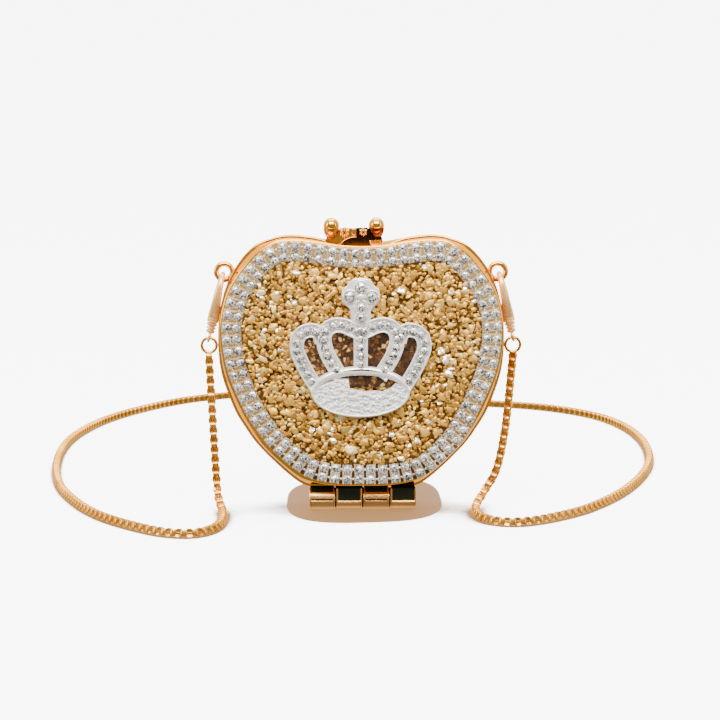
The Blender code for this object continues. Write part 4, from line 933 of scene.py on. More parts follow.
def add_stone_border(word, side, seed):
    """Cup chain in pairs round the face: a gold band, octagonal cups, round stones and prong tips."""
    body = word + "_half"
    base = PLATE_BACK + BAND_THICKNESS
    rows = [
        (BORDER_INSET, PLATE_BACK), (BORDER_INSET, base - BAND_EDGE), (BORDER_INSET + BAND_EDGE, base),
        (BORDER_INSET + BORDER_WIDTH - BAND_EDGE, base), (BORDER_INSET + BORDER_WIDTH, PLATE_BACK),
    ]
    grid = np.stack([border_ring(side, draw, depth) for draw, depth in rows])
    band = closed_skin(grid, wrap_rows=True)
    piece(word + "_border_band", *band, BORDER_GOLD, body, "gold", word + "_stone_border")
    centres, across, along = [], [], []
    for row in (0.25, 0.75):
        ring = border_ring(side, BORDER_INSET + BORDER_WIDTH * row, PLATE_BACK)
        step = np.roll(ring, -1, axis=0) - np.roll(ring, 1, axis=0)
        step /= np.linalg.norm(step, axis=1)[:, None]
        pick = np.arange(BORDER_PAIRS) * STEPS_PER_PAIR + STEPS_PER_PAIR // 2
        centres.append(ring[pick])
        across.append(step[pick])
        along.append(np.stack([-step[pick, 2], step[pick, 1], step[pick, 0]], axis=1))
    centres, across, along = (np.concatenate(item) for item in (centres, across, along))
    out = np.broadcast_to(np.array([0.0, side, 0.0]), centres.shape)
    seat = centres + out * SEAT_RISE
    radii = np.full(len(centres), STONE_RADIUS)
    stone_pieces(word + "_border_stones", seat, across, along, out, radii, body, seed)
    cup = prism(CUP_RADIUS, -SEAT_RISE, CUP_LIP, 8)
    many(word + "_border_cups", cup, (seat, across, along, out), CUP_SILVER, body, "gold")
    bridge = prism(BRIDGE_RADIUS, -SEAT_RISE, 0.0, 4, 0.8)
    halves = np.stack([seat[:BORDER_PAIRS], seat[BORDER_PAIRS:]])
    gaps = ((halves + np.roll(halves, -1, axis=1)) / 2).reshape(-1, 3)
    many(word + "_border_bridges", bridge, (gaps, across, along, out), CUP_SILVER, body, "gold")
    prong = prism(PRONG_RADIUS, PRONG_FOOT, PRONG_TIP, 6, 0.6)
    corners = [(a, b) for a in (-1, 1) for b in (-1, 1)]
    spots = np.concatenate([seat + a * PRONG_REACH * across + b * PRONG_REACH * along for a, b in corners])
    four = [np.concatenate([item] * len(corners)) for item in (across, along, out)]
    many(word + "_border_prongs", prong, (spots, *four), CUP_SILVER, body, "gold", smooth=True, angle=60)


# Crushed stone

ICOSAHEDRON_FACES = np.array([
    (0, 11, 5), (0, 5, 1), (0, 1, 7), (0, 7, 10), (0, 10, 11), (1, 5, 9), (5, 11, 4), (11, 10, 2),
    (10, 7, 6), (7, 1, 8), (3, 9, 4), (3, 4, 2), (3, 2, 6), (3, 6, 8), (3, 8, 9), (4, 9, 5),
    (2, 4, 11), (6, 2, 10), (8, 6, 7), (9, 8, 1),
])
GOLDEN = (1 + math.sqrt(5)) / 2
ICOSAHEDRON_POINTS = np.array([
    (-1, GOLDEN, 0), (1, GOLDEN, 0), (-1, -GOLDEN, 0), (1, -GOLDEN, 0), (0, -1, GOLDEN), (0, 1, GOLDEN),
    (0, -1, -GOLDEN), (0, 1, -GOLDEN), (GOLDEN, 0, -1), (GOLDEN, 0, 1), (-GOLDEN, 0, -1), (-GOLDEN, 0, 1),
]) / math.sqrt(1 + GOLDEN**2)
CHIP_SIDES = 6
CHIP_RINGS = ((1.0, -0.8), (1.0, 0.26), (0.80, 0.50))
CHIP_TABLE_JITTER = 0.10
CHIP_THICKNESS = (0.0008, 0.0013)
# painted shade: the share of a chip's tone on its wall and foot, its bevel and its table
CHIP_PAINTED_SHADES = np.array([0.34, 0.88, 1.0])
CHIP_SPREADS = np.array([0.04, 0.11, 0.045])
CHIP_TILT = 0.17
WHITE_PITCH = (0.46, 0.06)
WHITE_YAW = (0.0, 0.10)
WHITE_TONE = 0.95
WHITE_SHARE = 0.03
BRIGHTEST_TONE = 0.93
CHIP_BED_TONE = 0.10
CHIP_BED_ROWS = ((1.0, 0.0001), (1.0, 0.0009), (0.90, 0.0012), (0.70, 0.0014), (0.02, 0.0014))
FIELD_STEPS = 264
FIELD_EDGE_RISE = 0.0017
FIELD_SWELL = 0.0010
FIELD_SWELL_REACH = 0.0085
HEIGHT_SPREAD = 0.00018
GRID_JITTER = 0.42
CHIP_LAYERS = (
    # the deep chips' low tones are painted shade under the upper chips
    ("deep_chips", 0.00270, 0.0004, (0.0032, 0.0046), -0.00165, (0.20, 0.08)),
    ("chips", 0.00225, 0.0006, (0.0024, 0.0042), -0.00095, (0.55, 0.15)),
    ("small_chips", 0.00300, 0.0003, (0.0013, 0.0022), -0.00052, (0.62, 0.18)),
    ("large_chips", 0.00560, 0.0020, (0.0042, 0.0062), -0.00058, (0.62, 0.14)),
)


def chip_faces():
    """Triangles of one chip, whose rings are its foot, the edge of its wall and its table: the kinds
    are 0 for the wall and foot, 1 for the bevel and 2 for the table."""
    walls, bevels = (
        np.concatenate([band[:, [0, 1, 2]], band[:, [0, 2, 3]]])
        for band in (quads(2, CHIP_SIDES, start=CHIP_SIDES * row) for row in (0, 1))
    )
    fan = np.array([(0, step, step + 1) for step in range(1, CHIP_SIDES - 1)])
    triangles = np.concatenate([walls, bevels, fan + 2 * CHIP_SIDES, fan[:, ::-1]])
    kinds = np.repeat((0, 1, 2, 0), [len(walls), len(bevels), len(fan), len(fan)])
    return triangles, kinds


def inside_and_distance(points, loop):
    """Which points lie in a closed loop, by counting crossings, and how far each is from it."""
    after = np.roll(loop, -1, axis=0)
    x, z = points[:, :1], points[:, 1:]
    rising = (loop[None, :, 1] > z) != (after[None, :, 1] > z)
    lift = np.where(np.abs(after[:, 1] - loop[:, 1]) < 1e-12, 1e-12, after[:, 1] - loop[:, 1])
    crossing = (after[:, 0] - loop[:, 0]) * (z - loop[:, 1]) / lift + loop[:, 0]
    inside = (rising & (x < crossing)).sum(axis=1) % 2 == 1
    distance = np.sqrt(((points[:, None, :] - loop[None]) ** 2).sum(axis=2)).min(axis=1)
    return inside, distance


def scattered(side, spacing, margin, rng):
    """Places over the field: a jittered triangular grid, kept where it lies inside the border."""
    loop = border_ring(side, BORDER_INSET + BORDER_WIDTH, PLATE_BACK, FIELD_STEPS)[:, [0, 2]]
    low, high = loop.min(axis=0), loop.max(axis=0)
    xs = np.arange(low[0], high[0], spacing)
    zs = np.arange(low[1], high[1], spacing * 0.866)
    x, z = np.meshgrid(xs, zs)
    x = x + (np.arange(len(zs)) % 2)[:, None] * spacing / 2
    places = np.stack([x.ravel(), z.ravel()], axis=1)
    places += rng.uniform(-GRID_JITTER, GRID_JITTER, places.shape) * spacing
    inside, distance = inside_and_distance(places, loop)
    keep = inside & (distance > margin)
    return places[keep], distance[keep]


def dome(distance):
    """The field's height over the plate: a smooth step from its edge to its swell, inwards."""
    share = np.clip(distance / FIELD_SWELL_REACH, 0.0, 1.0)
    return FIELD_EDGE_RISE + FIELD_SWELL * share * share * (3 - 2 * share)


def chip_cluster(name, side, places, heights, sizes, tones, rng, body):
    """Broken chips as one piece: each is an uneven polygon with a wall, a bevel and a table whose
    corners sit a little high or low. It is spun, then tilted; white ones lean back to the light."""
    count = len(places)
    angles = full_turn(CHIP_SIDES, rng.uniform(-0.38, 0.38, (count, CHIP_SIDES)))
    reach = rng.uniform(0.58, 1.12, (count, CHIP_SIDES)) * (sizes / 2)[:, None]
    x, y = reach * np.cos(angles), reach * np.sin(angles) * rng.uniform(0.55, 1.0, (count, 1))
    spin = rng.uniform(0, 2 * math.pi, count)
    cs, sn = np.cos(spin)[:, None], np.sin(spin)[:, None]
    flat = np.stack([cs * x - sn * y, sn * x + cs * y], axis=-1)
    thick = rng.uniform(*CHIP_THICKNESS, count)[:, None]
    rings = []
    for share, rise in CHIP_RINGS:
        is_table = (share, rise) == CHIP_RINGS[-1]
        jitter = rng.normal(0, CHIP_TABLE_JITTER if is_table else 0.0, (count, CHIP_SIDES))
        rings.append(np.concatenate([flat * share, (thick * (rise + jitter))[..., None]], axis=-1))
    local = np.concatenate(rings, axis=1)
    white = tones > WHITE_TONE
    pitch = np.where(white, rng.normal(*WHITE_PITCH, count), rng.normal(0.0, CHIP_TILT, count))[:, None]
    yaw = np.where(white, rng.normal(*WHITE_YAW, count), rng.normal(0.0, CHIP_TILT, count))[:, None]
    x, y, z = local[..., 0], local[..., 1], local[..., 2]
    y, z = y * np.cos(pitch) + z * np.sin(pitch), z * np.cos(pitch) - y * np.sin(pitch)
    x, z = x * np.cos(yaw) + z * np.sin(yaw), z * np.cos(yaw) - x * np.sin(yaw)
    points = np.stack([
        places[:, :1] + x, SEAM_Y + side * (PLATE_BACK + heights[:, None] + z), places[:, 1:] + y,
    ], axis=-1)
    triangles, kinds = chip_faces()
    faces = facing_out(points[0], triangles)
    uneven = rng.normal(0, 1.0, (count, len(kinds))) * CHIP_SPREADS[kinds]
    # painted shade: a chip's walls and bevels are darker than its table
    face_tones = tones[:, None] * CHIP_PAINTED_SHADES[kinds] + uneven
    face_tones = np.where(white[:, None] & (kinds == 2), 1.0, np.minimum(face_tones, BRIGHTEST_TONE))
    piece(
        name, points, repeat_faces(faces, count, 3 * CHIP_SIDES), CHIPS, body, "stone_chips",
        smooth=False, tones=np.clip(face_tones, 0.0, 1.0).ravel(),
    )


def add_stone_field(word, side, seed):
    """Crushed stone in four scatters on a brown bed: deep chips, darkened as painted shade, the showing
    ones, small fillers and a few large ones. A few of the upper ones are white."""
    rng = np.random.default_rng(seed)
    body = word + "_half"
    inset = BORDER_INSET + BORDER_WIDTH + CLEAR
    loop = border_ring(side, inset, PLATE_BACK, FIELD_STEPS)
    middle = loop.mean(axis=0)
    grid = np.stack([
        middle + (loop - middle) * share + np.array([0.0, side * rise, 0.0]) for share, rise in CHIP_BED_ROWS
    ])
    points, arrays = closed_skin(grid)
    count = sum(len(array) for array in arrays)
    piece(
        word + "_chip_bed", points, arrays, CHIPS, body, "stone_chips", word + "_stone_field",
        tones=np.full(count, CHIP_BED_TONE),
    )
    for name, spacing, margin, sizes, sink, (mean, spread) in CHIP_LAYERS:
        places, distance = scattered(side, spacing, margin, rng)
        size = rng.uniform(*sizes, len(places)) * rng.uniform(0.9, 1.1, len(places))
        heights = dome(distance) + sink + rng.normal(0, HEIGHT_SPREAD, len(places))
        tones = np.clip(rng.normal(mean, spread, len(places)), 0.0, BRIGHTEST_TONE)
        if name != "deep_chips":
            tones[rng.random(len(places)) < WHITE_SHARE] = 1.0
        chip_cluster(f"{word}_{name}", side, places, heights, size, tones, rng, body)


for side_word, side_sign, side_seed in (("front", FRONT, 11), ("back", BACK, 12)):
    add_stone_border(side_word, side_sign, side_seed)
    add_stone_field(side_word, side_sign, side_seed + 10)


# Crown

CROWN_FOOT_Z = 0.04494
CROWN_SIDESTEP = -0.0007
CROWN_Y = SEAM_Y - CROWN_BACK


def crown_point(x, z, rise=0.0):
    """A place on the crown, from millimetres across and above its foot, and its rise in metres."""
    x, z, rise = np.broadcast_arrays(x, z, rise)
    return np.stack([CROWN_SIDESTEP + x / 1000, CROWN_Y - rise, CROWN_FOOT_Z + z / 1000], axis=-1)


OUTER_RIB = (
    (-19.6, 13.5), (-23.4, 19.6), (-26.2, 25.0), (-28.2, 30.2), (-28.0, 34.8), (-25.8, 38.0),
    (-21.8, 39.2), (-18.6, 37.8), (-17.3, 34.0),
)
INNER_RIB = (
    (-8.6, 18.0), (-11.8, 23.2), (-14.4, 27.8), (-16.0, 32.5), (-16.1, 36.6), (-14.4, 39.9),
    (-10.8, 41.5), (-6.9, 41.0), (-3.4, 39.4), (-0.4, 38.2),
)
MIDDLE_RIB = ((0.1, 19.0), (0.1, 26.0), (0.1, 33.0), (0.1, 41.0))
RIB_SECTION = (
    (-1.0, 0.0), (-1.0, 2.0), (-0.96, 2.35), (-0.88, 2.5), (-0.78, 2.4), (-0.70, 2.05), (-0.62, 1.75),
    (0.62, 1.75), (0.70, 2.05), (0.78, 2.4), (0.88, 2.5), (0.96, 2.35), (1.0, 2.0), (1.0, 0.0),
)
BACKING_RISE = 0.00035
BACKING_THICKNESS = 0.0005
BACKING_EDGE = 0.0001
# Each rib's side and route, its half width, the scale of its rises, and its stones' pitch and start
RIBS = (
    (1, OUTER_RIB, 3.25, 1.0, 3.75, 3.6), (1, INNER_RIB, 3.45, 1.04, 3.75, 4.1),
    (-1, OUTER_RIB, 3.25, 1.0, 3.75, 3.6), (-1, INNER_RIB, 3.45, 1.04, 3.75, 4.1),
    (1, MIDDLE_RIB, 3.15, 1.10, 3.85, 4.7),
)
RIB_END = 1.2
RIB_STONE_RADIUS = 0.00205
RIB_STONE_RISE = 0.0022
RIB_BEAD_RADIUS = 0.00046
RIB_BEAD_RISE = 0.0021
RIB_BEAD_SHARE = 0.44
FINIAL_HALF = (
    (0.1, 62.4), (2.8, 62.2), (4.9, 61.0), (6.1, 59.2), (8.0, 57.6), (8.6, 55.0), (8.2, 52.0), (6.4, 50.0),
    (4.9, 48.4), (4.6, 46.0), (4.4, 43.5), (4.2, 41.2),
)
FINIAL_MIDDLE_X = 0.2
FINIAL_THICKNESS = 0.0025
FINIAL_EDGE = 0.0006
FINIAL_LOBES = np.array([(0.2, 58.3), (-4.7, 54.2), (5.0, 54.0), (0.2, 49.6)])
LOBE_PROFILE = (
    (0.0, 0.00335), (0.0026, 0.0034), (0.0030, 0.0032), (0.0031, 0.00295), (0.0027, 0.0026), (0.0022, 0.0024),
)
FINIAL_BALL = (0.2, 54.2)
FINIAL_BALL_PROFILE = ((0.001, 0.0018), (0.003, 0.0017), (0.0037, 0.0013), (0.0040, 0.0006))
NECK_CUP = (0.2, 44.6)
NECK_CUP_PROFILE = ((0.0, 0.0029), (0.0025, 0.0029), (0.0030, 0.0027), (0.0030, 0.0023), (0.0024, 0.0021))
FINIAL_STONE_RADII = (0.0026, 0.0025, 0.0025, 0.0020, 0.0021)
FINIAL_STONE_RISE = 0.0030
FINIAL_BEAD_RADIUS = 0.00045
FINIAL_BEAD_RISE = 0.0031
FINIAL_BEAD_REACH = 2.95
BAND_SECTION = (
    (-1.0, 0.0), (-1.0, 1.7), (-0.93, 2.3), (-0.72, 2.8), (-0.40, 3.1), (0.0, 3.2), (0.40, 3.1),
    (0.72, 2.8), (0.93, 2.3), (1.0, 1.7), (1.0, 0.0),
)
BAND_HALF_WIDTH = 22.2
BAND_HALF_HEIGHT = 11.5
BAND_LINE_SECTION = ((-1.0, 2.9), (-1.0, 3.2), (0.0, 3.28), (1.0, 3.2), (1.0, 2.9))
LINE_RADII = (20.4, 9.9)
LINE_MIDDLE = 11.7
LINE_ENDS = (64, 112)
LINE_HALF_WIDTH = 0.42
LINE_STEPS = 30
CROWN_FIELD_TOP = np.array([
    (-21.9, 11.6), (-19.6, 13.8), (-15.5, 15.9), (-12.0, 17.0), (-8.0, 17.6), (-5.3, 17.4), (-4.9, 13.2),
    (-1.7, 12.4), (2.1, 11.8), (6.0, 12.1), (11.1, 11.7), (13.6, 13.4), (15.5, 15.5), (18.2, 14.9),
    (21.9, 11.6),
])
CROWN_FIELD_HALF_WIDTH = 21.9
CROWN_FIELD_HALF_HEIGHT = 11.0
CROWN_FIELD_END = 21.2
CROWN_FIELD_WAVES = 60
CROWN_FIELD_WAVE_LENGTHS = (1.1, 4.0)
CROWN_FIELD_RELIEF = 0.075
CROWN_FIELD_EDGE = 0.9
CROWN_FIELD_LOWEST = 0.3
CROWN_FIELD_HIGHEST = 3.15
CROWN_FIELD_BACK = 0.0002
CROWN_DOME_RISES = (1.55, 1.35)
CROWN_DOME_RADII = (23.0, 12.5)
CROWN_DOME_MIDDLE = 9.0


def swept(path, section, half_width, scale=1.0, closed=False):
    """A section of (share of half width, rise in millimetres) carried along a path on the crown."""
    if closed:
        along = np.roll(path, -1, axis=0) - np.roll(path, 1, axis=0)
    else:
        along = np.gradient(path, axis=0)
    along /= np.linalg.norm(along, axis=1)[:, None]
    across = np.stack([along[:, 1], -along[:, 0]], axis=1)
    shares = np.array(section)
    widths = np.broadcast_to(half_width, (len(path),))
    flat = path[:, None, :] + shares[None, :, :1] * widths[:, None, None] * across[:, None, :]
    rings = crown_point(flat[..., 0], flat[..., 1], shares[None, :, 1] * scale / 1000)
    return closed_skin(rings, wrap_rows=closed)


def crown_places(places, rise):
    """Centres on the crown from places in millimetres, and the directions across, up and out."""
    directions = np.array([(1.0, 0.0, 0.0), (0.0, 0.0, 1.0), OUT])
    centres = crown_point(places[:, 0], places[:, 1], rise)
    return centres, *(np.broadcast_to(direction, centres.shape) for direction in directions)


def pave(name, places, radii, rise, seed):
    """Round stones set flush on the crown at places in millimetres."""
    stone_pieces(name, *crown_places(places, rise), np.full(len(places), 1.0) * radii, "front_half", seed)


def beads(name, places, radius, rise):
    """Small balls of metal that hold the crown's stones."""
    ball = ICOSAHEDRON_POINTS * radius, [facing_out(ICOSAHEDRON_POINTS, ICOSAHEDRON_FACES)]
    many(name, ball, crown_places(places, rise), SILVER, "front_half", "crown_silver", smooth=True, angle=80)


def add_crown_arches():
    """Five ribs with thin raised edges, sunk between them for a row of stones held by beads."""
    parts, stones, balls = [], [], []
    rng = np.random.default_rng(5)
    for flip, route, half_width, scale, pitch, first in RIBS:
        path = smooth_path(np.array(route) * (flip, 1), 90)
        parts.append(swept(path, RIB_SECTION, half_width, scale))
        length = np.linalg.norm(np.diff(path, axis=0), axis=1).sum()
        along = np.linspace(0.0, length, len(path))
        places = np.arange(first, length - RIB_END, pitch)
        for shift in (0.0, pitch / 2):
            at = np.stack([np.interp(places + shift, along, path[:, k]) for k in (0, 1)], axis=1)
            ahead = np.stack([np.interp(places + shift + 0.2, along, path[:, k]) for k in (0, 1)], axis=1)
            step = (ahead - at) / np.maximum(np.linalg.norm(ahead - at, axis=1), 1e-9)[:, None]
            cross = np.stack([step[:, 1], -step[:, 0]], axis=1)
            if shift:
                for offset in (-RIB_BEAD_SHARE, 0.0, RIB_BEAD_SHARE):
                    balls.append(at + cross * offset * half_width)
            else:
                stones.append(at + cross * rng.normal(0, 0.08, (len(at), 1)))
    piece("crown_ribs", *joined(parts), SILVER, "front_half", "crown_silver", "crown_arches", angle=50)
    pave("crown_rib_stones", np.concatenate(stones), RIB_STONE_RADIUS, RIB_STONE_RISE, 31)
    beads("crown_rib_beads", np.concatenate(balls), RIB_BEAD_RADIUS, RIB_BEAD_RISE)


def add_crown_finial():
    """Four round lobes about a ball, each a cup with a stone, on a neck with one more stone."""
    outline = [*FINIAL_HALF, *[(FINIAL_MIDDLE_X - x, z) for x, z in reversed(FINIAL_HALF[1:])]]
    flat = smooth_path(outline, 110, closed=True) / 1000
    flat += (CROWN_SIDESTEP, CROWN_FOOT_Z)
    parts = [rounded_plate(flat, CROWN_Y - FINIAL_THICKNESS / 2, FINIAL_THICKNESS, FINIAL_EDGE)]
    parts += [turned(LOBE_PROFILE, crown_point(x, z), OUT, sides=28) for x, z in FINIAL_LOBES]
    parts.append(turned(FINIAL_BALL_PROFILE, crown_point(*FINIAL_BALL), OUT, sides=20))
    parts.append(turned(NECK_CUP_PROFILE, crown_point(*NECK_CUP), OUT, sides=28))
    piece("crown_finial_cast", *joined(parts), SILVER, "front_half", "crown_silver", "crown_finial", angle=50)
    places = np.concatenate([FINIAL_LOBES, [NECK_CUP]])
    pave("crown_finial_stones", places, np.array(FINIAL_STONE_RADII), FINIAL_STONE_RISE, 33)
    turn = full_turn(6)
    around = [
        (x + FINIAL_BEAD_REACH * np.cos(turn), z + FINIAL_BEAD_REACH * np.sin(turn)) for x, z in FINIAL_LOBES
    ]
    beads("crown_finial_beads", np.concatenate(around, axis=1).T, FINIAL_BEAD_RADIUS, FINIAL_BEAD_RISE)


def add_crown_band():
    """The oval foot: a smooth band round an ellipse, broader at its top, with a dark line there, a
    painted reflection, whose width is a half sine."""
    turn = full_turn(160)
    top = np.clip(np.sin(turn), 0.0, 1.0)
    half = 0.75 + 1.25 * top**0.7
    path = np.stack([
        (BAND_HALF_WIDTH - half) * np.cos(turn), BAND_HALF_HEIGHT + (BAND_HALF_HEIGHT - half) * np.sin(turn),
    ], axis=1)
    band = swept(path, BAND_SECTION, half, closed=True)
    piece("crown_band", *band, SILVER, "front_half", "crown_silver", "crown_base", angle=60)
    turn = np.radians(np.linspace(*LINE_ENDS, LINE_STEPS))
    line = np.stack([LINE_RADII[0] * np.cos(turn), LINE_MIDDLE + LINE_RADII[1] * np.sin(turn)], axis=1)
    half_widths = LINE_HALF_WIDTH * np.sin(np.linspace(0.15, math.pi - 0.15, LINE_STEPS))
    # painted reflection: a dark streak along the band's top
    streak = swept(line, BAND_LINE_SECTION, half_widths)
    piece("crown_band_line", *streak, DARK_SILVER, "front_half", "crown_silver")


def add_crown_field():
    """The field of hammered silver in the band's lower part: a dome that is the cap of an ellipsoid.
    Its relief is a sum of cosine waves of random heading and length, and falls off at its edges."""
    x = np.linspace(-CROWN_FIELD_END, CROWN_FIELD_END, 180)
    high = np.interp(x, CROWN_FIELD_TOP[:, 0], CROWN_FIELD_TOP[:, 1])
    low_ellipse = np.sqrt(np.maximum(1 - (x / CROWN_FIELD_HALF_WIDTH) ** 2, 0.0))
    low = BAND_HALF_HEIGHT - CROWN_FIELD_HALF_HEIGHT * low_ellipse
    share = np.linspace(0.0, 1.0, 60)
    z = low[:, None] + (high - low)[:, None] * share[None, :]
    across = np.broadcast_to(x[:, None], z.shape)
    rng = np.random.default_rng(8)
    relief = np.zeros_like(z)
    for _ in range(CROWN_FIELD_WAVES):
        heading = rng.uniform(0, math.pi)
        number = 2 * math.pi / rng.uniform(*CROWN_FIELD_WAVE_LENGTHS)
        relief += np.cos(number * (across * math.cos(heading) + z * math.sin(heading)) + rng.uniform(0, 6.3))
    broad, tall = CROWN_DOME_RADII
    falloff = 1 - (across / broad) ** 2 - ((z - CROWN_DOME_MIDDLE) / tall) ** 2
    swell = CROWN_DOME_RISES[0] + CROWN_DOME_RISES[1] * np.sqrt(np.clip(falloff, 0.0, 1.0))
    edge = np.minimum(share, 1 - share)[None, :] * (high - low)[:, None]
    rise = (swell + CROWN_FIELD_RELIEF * relief) * np.clip(0.35 + edge / CROWN_FIELD_EDGE, 0.0, 1.0)
    face = crown_point(across, z, np.clip(rise, CROWN_FIELD_LOWEST, CROWN_FIELD_HIGHEST) / 1000)
    back = crown_point(across, z, CROWN_FIELD_BACK)[:, ::-1]
    skin = closed_skin(np.concatenate([face, back], axis=1))
    piece("crown_field", *skin, FROSTED, "front_half", "crown_silver", angle=180)


def add_crown_backing():
    """A thin brown plate behind the ribs, whose edge runs under the middle of the outer ones; its brown is
    painted shade.
    """
    left = [*OUTER_RIB[:8], *INNER_RIB[3:]]
    outline = [*left, *[(-x, z) for x, z in reversed(left)]]
    flat = np.array(outline) / 1000 + (CROWN_SIDESTEP, CROWN_FOOT_Z)
    plate = rounded_plate(flat, CROWN_Y - BACKING_RISE, BACKING_THICKNESS, BACKING_EDGE, 1)
    # painted shade: the plate's brown stands for crumbs in the crown's shade
    piece("crown_backing", *plate, SHADE_BACKING, "front_half", "stone_chips", angle=12)


add_crown_arches()
add_crown_finial()
add_crown_band()
add_crown_field()
add_crown_backing()


# Kiss lock

FRONT_ARM = (
    (-16.2, -0.9), (-16.2, 3.8), (-15.6, 5.2), (-14.6, 7.6), (-10.4, 7.8), (-10.2, 8.4), (-9.4, 9.3),
    (-2.9, 9.3), (-2.2, 8.7), (-2.2, 5.2), (-3.4, 5.15), (-4.8, 4.85), (-6.2, 4.4), (-7.4, 3.7),
    (-8.6, 2.7), (-9.6, 1.5), (-10.4, 0.3), (-10.8, -0.9),
)
BACK_ARM = (
    (-10.6, -1.4), (-9.6, 0.8), (-8.0, 3.2), (-5.5, 5.0), (-3.2, 5.6), (-3.2, 8.7), (-2.5, 9.3), (2.6, 9.3),
    (3.7, 8.7), (3.8, 7.8), (8.0, 7.6), (9.2, 5.4), (9.8, 3.6), (10.2, -1.4),
)
FRONT_ARM_Y = 0.00025
BACK_ARM_Y = 0.00325
ARM_THICKNESS = 0.0022
BALL_RADIUS = 0.0035
BALL_RISE = 0.0104
CUP_BOTTOM = -0.0062
CUP_TOP = -0.0012
ROSETTE_RISE = 0.0073
ARM_EDGE = 0.0004
OUTLINE_STEP = 0.0005
BALL_STEPS = 24
BALL_FOOT_ANGLE = math.radians(-26)
CUP_STEPS = 14
CUP_COLLAR = (CUP_TOP + 0.0003, BALL_RADIUS * 0.9)
PETALS = 6
PETAL_NOTCH_SHARE = 0.24
DOT_PROFILE = ((0.0, 0.0001), (0.0, 0.0006), (0.0004, 0.0005), (0.0006, 0.0002))
DOT_RISE = 0.00045
CATCH_OUTLINE = ((-4.3, 6.2), (-4.3, 9.2), (-2.4, 9.2), (-2.4, 6.2))
CATCH_RISE = 0.0004
CATCH_THICKNESS = 0.0012
CATCH_EDGE = 0.0003
FOOT_OUTLINE = ((4.6, -1.2), (4.4, 1.4), (3.6, 3.6), (9.2, 4.0), (9.8, 3.4), (10.0, -1.2))
FOOT_RISE = 0.0002
FOOT_THICKNESS = 0.0006
FOOT_EDGE = 0.00025


def lock_outline(points):
    """Millimetres across and above the notch, as places on the case."""
    flat = np.array(points) / 1000
    flat[:, 1] += NOTCH_Z
    steps = []
    for start, end in zip(flat, np.roll(flat, -1, axis=0)):
        count = max(2, int(np.linalg.norm(end - start) / OUTLINE_STEP))
        steps.append(start + (end - start) * (np.arange(count) / count)[:, None])
    return np.concatenate(steps)


def add_lock_half(
    word, body, outline, arm_y, arm_finish, cup_finish, ball_x, rosette_x, rosette_radius, centre_finish,
):
    """An arm cut from plate, a ball in its cup, and a flower whose petals swell as a cosine."""
    plate = rounded_plate(lock_outline(outline), arm_y, ARM_THICKNESS, ARM_EDGE)
    piece(f"{word}_lock_arm", *plate, arm_finish, body, "gold", f"clasp_{word}_arm", angle=12)
    where = (ball_x, arm_y, NOTCH_Z + BALL_RISE)
    turns = np.linspace(BALL_FOOT_ANGLE, math.pi / 2, BALL_STEPS)
    ball = turned(np.stack([np.sin(turns), np.cos(turns)], axis=1) * BALL_RADIUS, where, sides=48)
    piece(f"{word}_lock_ball", *ball, LOCK_GOLD, body, "gold", f"clasp_{word}_ball", angle=50)
    turns = np.linspace(math.pi / 2, 0.0, CUP_STEPS)
    lower = np.stack([CUP_TOP + (CUP_BOTTOM - CUP_TOP) * np.sin(turns), BALL_RADIUS * np.cos(turns)], axis=1)
    cup = turned(np.concatenate([lower, [CUP_COLLAR]]), where, sides=48)
    piece(f"{word}_lock_cup", *cup, cup_finish, body, "gold", angle=50)

    turn = full_turn(72)
    petal = np.cos(PETALS * turn)
    reach = rosette_radius * (1 - PETAL_NOTCH_SHARE * (1 - petal) / 2)
    back = arm_y - ARM_THICKNESS / 2 - CLEAR
    rows = [(0.02, 0.0), (0.98, 0.0), (1.0, 0.35)]
    rows += [(share, None) for share in np.linspace(0.96, 0.16, 12)] + [(0.10, 0.55), (0.03, 0.50)]
    rings = []
    for share, rise in rows:
        if rise is None:
            rise = 0.5 + 0.8 * math.sin(math.pi * share**1.2) ** 0.7 * (0.6 + 0.4 * petal)
        rings.append(np.stack([
            rosette_x + share * reach * np.sin(turn), back - np.broadcast_to(rise, turn.shape) / 1000,
            NOTCH_Z + ROSETTE_RISE + share * reach * np.cos(turn),
        ], axis=1))
    flower = closed_skin(np.array(rings))
    piece(f"{word}_lock_flower", *flower, LOCK_GOLD, body, "gold", f"clasp_{word}_rosette", angle=60)
    dot = turned(DOT_PROFILE, (rosette_x, back - DOT_RISE, NOTCH_Z + ROSETTE_RISE), OUT, sides=16)
    piece(f"{word}_flower_middle", *dot, centre_finish, body, "gold")


def add_lock_plate(name, body, outline, middle_y, thickness, edge):
    """A small plate on the front of an arm."""
    plate = rounded_plate(lock_outline(outline), middle_y, thickness, edge)
    piece(name, *plate, GOLD, body, "gold", angle=12)


add_lock_half(
    "front", "front_half", FRONT_ARM, FRONT_ARM_Y, LOCK_GOLD, LOCK_CUP, -0.0135, -0.0076, 0.0026, BRONZE_AND_SHADE,
)
# painted shade: the back arm and its cup are dark, for gold in shade behind the front arm
add_lock_half(
    "back", "back_half", BACK_ARM, BACK_ARM_Y, BRONZE_AND_SHADE, LOCK_CUP_SHADE, 0.0069, 0.0009, 0.0021, ENAMEL_AND_SHADE,
)
CATCH_Y = FRONT_ARM_Y - ARM_THICKNESS / 2 - CATCH_RISE
FOOT_Y = BACK_ARM_Y - ARM_THICKNESS / 2 - FOOT_RISE
add_lock_plate("lock_catch", "front_half", CATCH_OUTLINE, CATCH_Y, CATCH_THICKNESS, CATCH_EDGE)
add_lock_plate("lock_foot", "back_half", FOOT_OUTLINE, FOOT_Y, FOOT_THICKNESS, FOOT_EDGE)


# Hinge

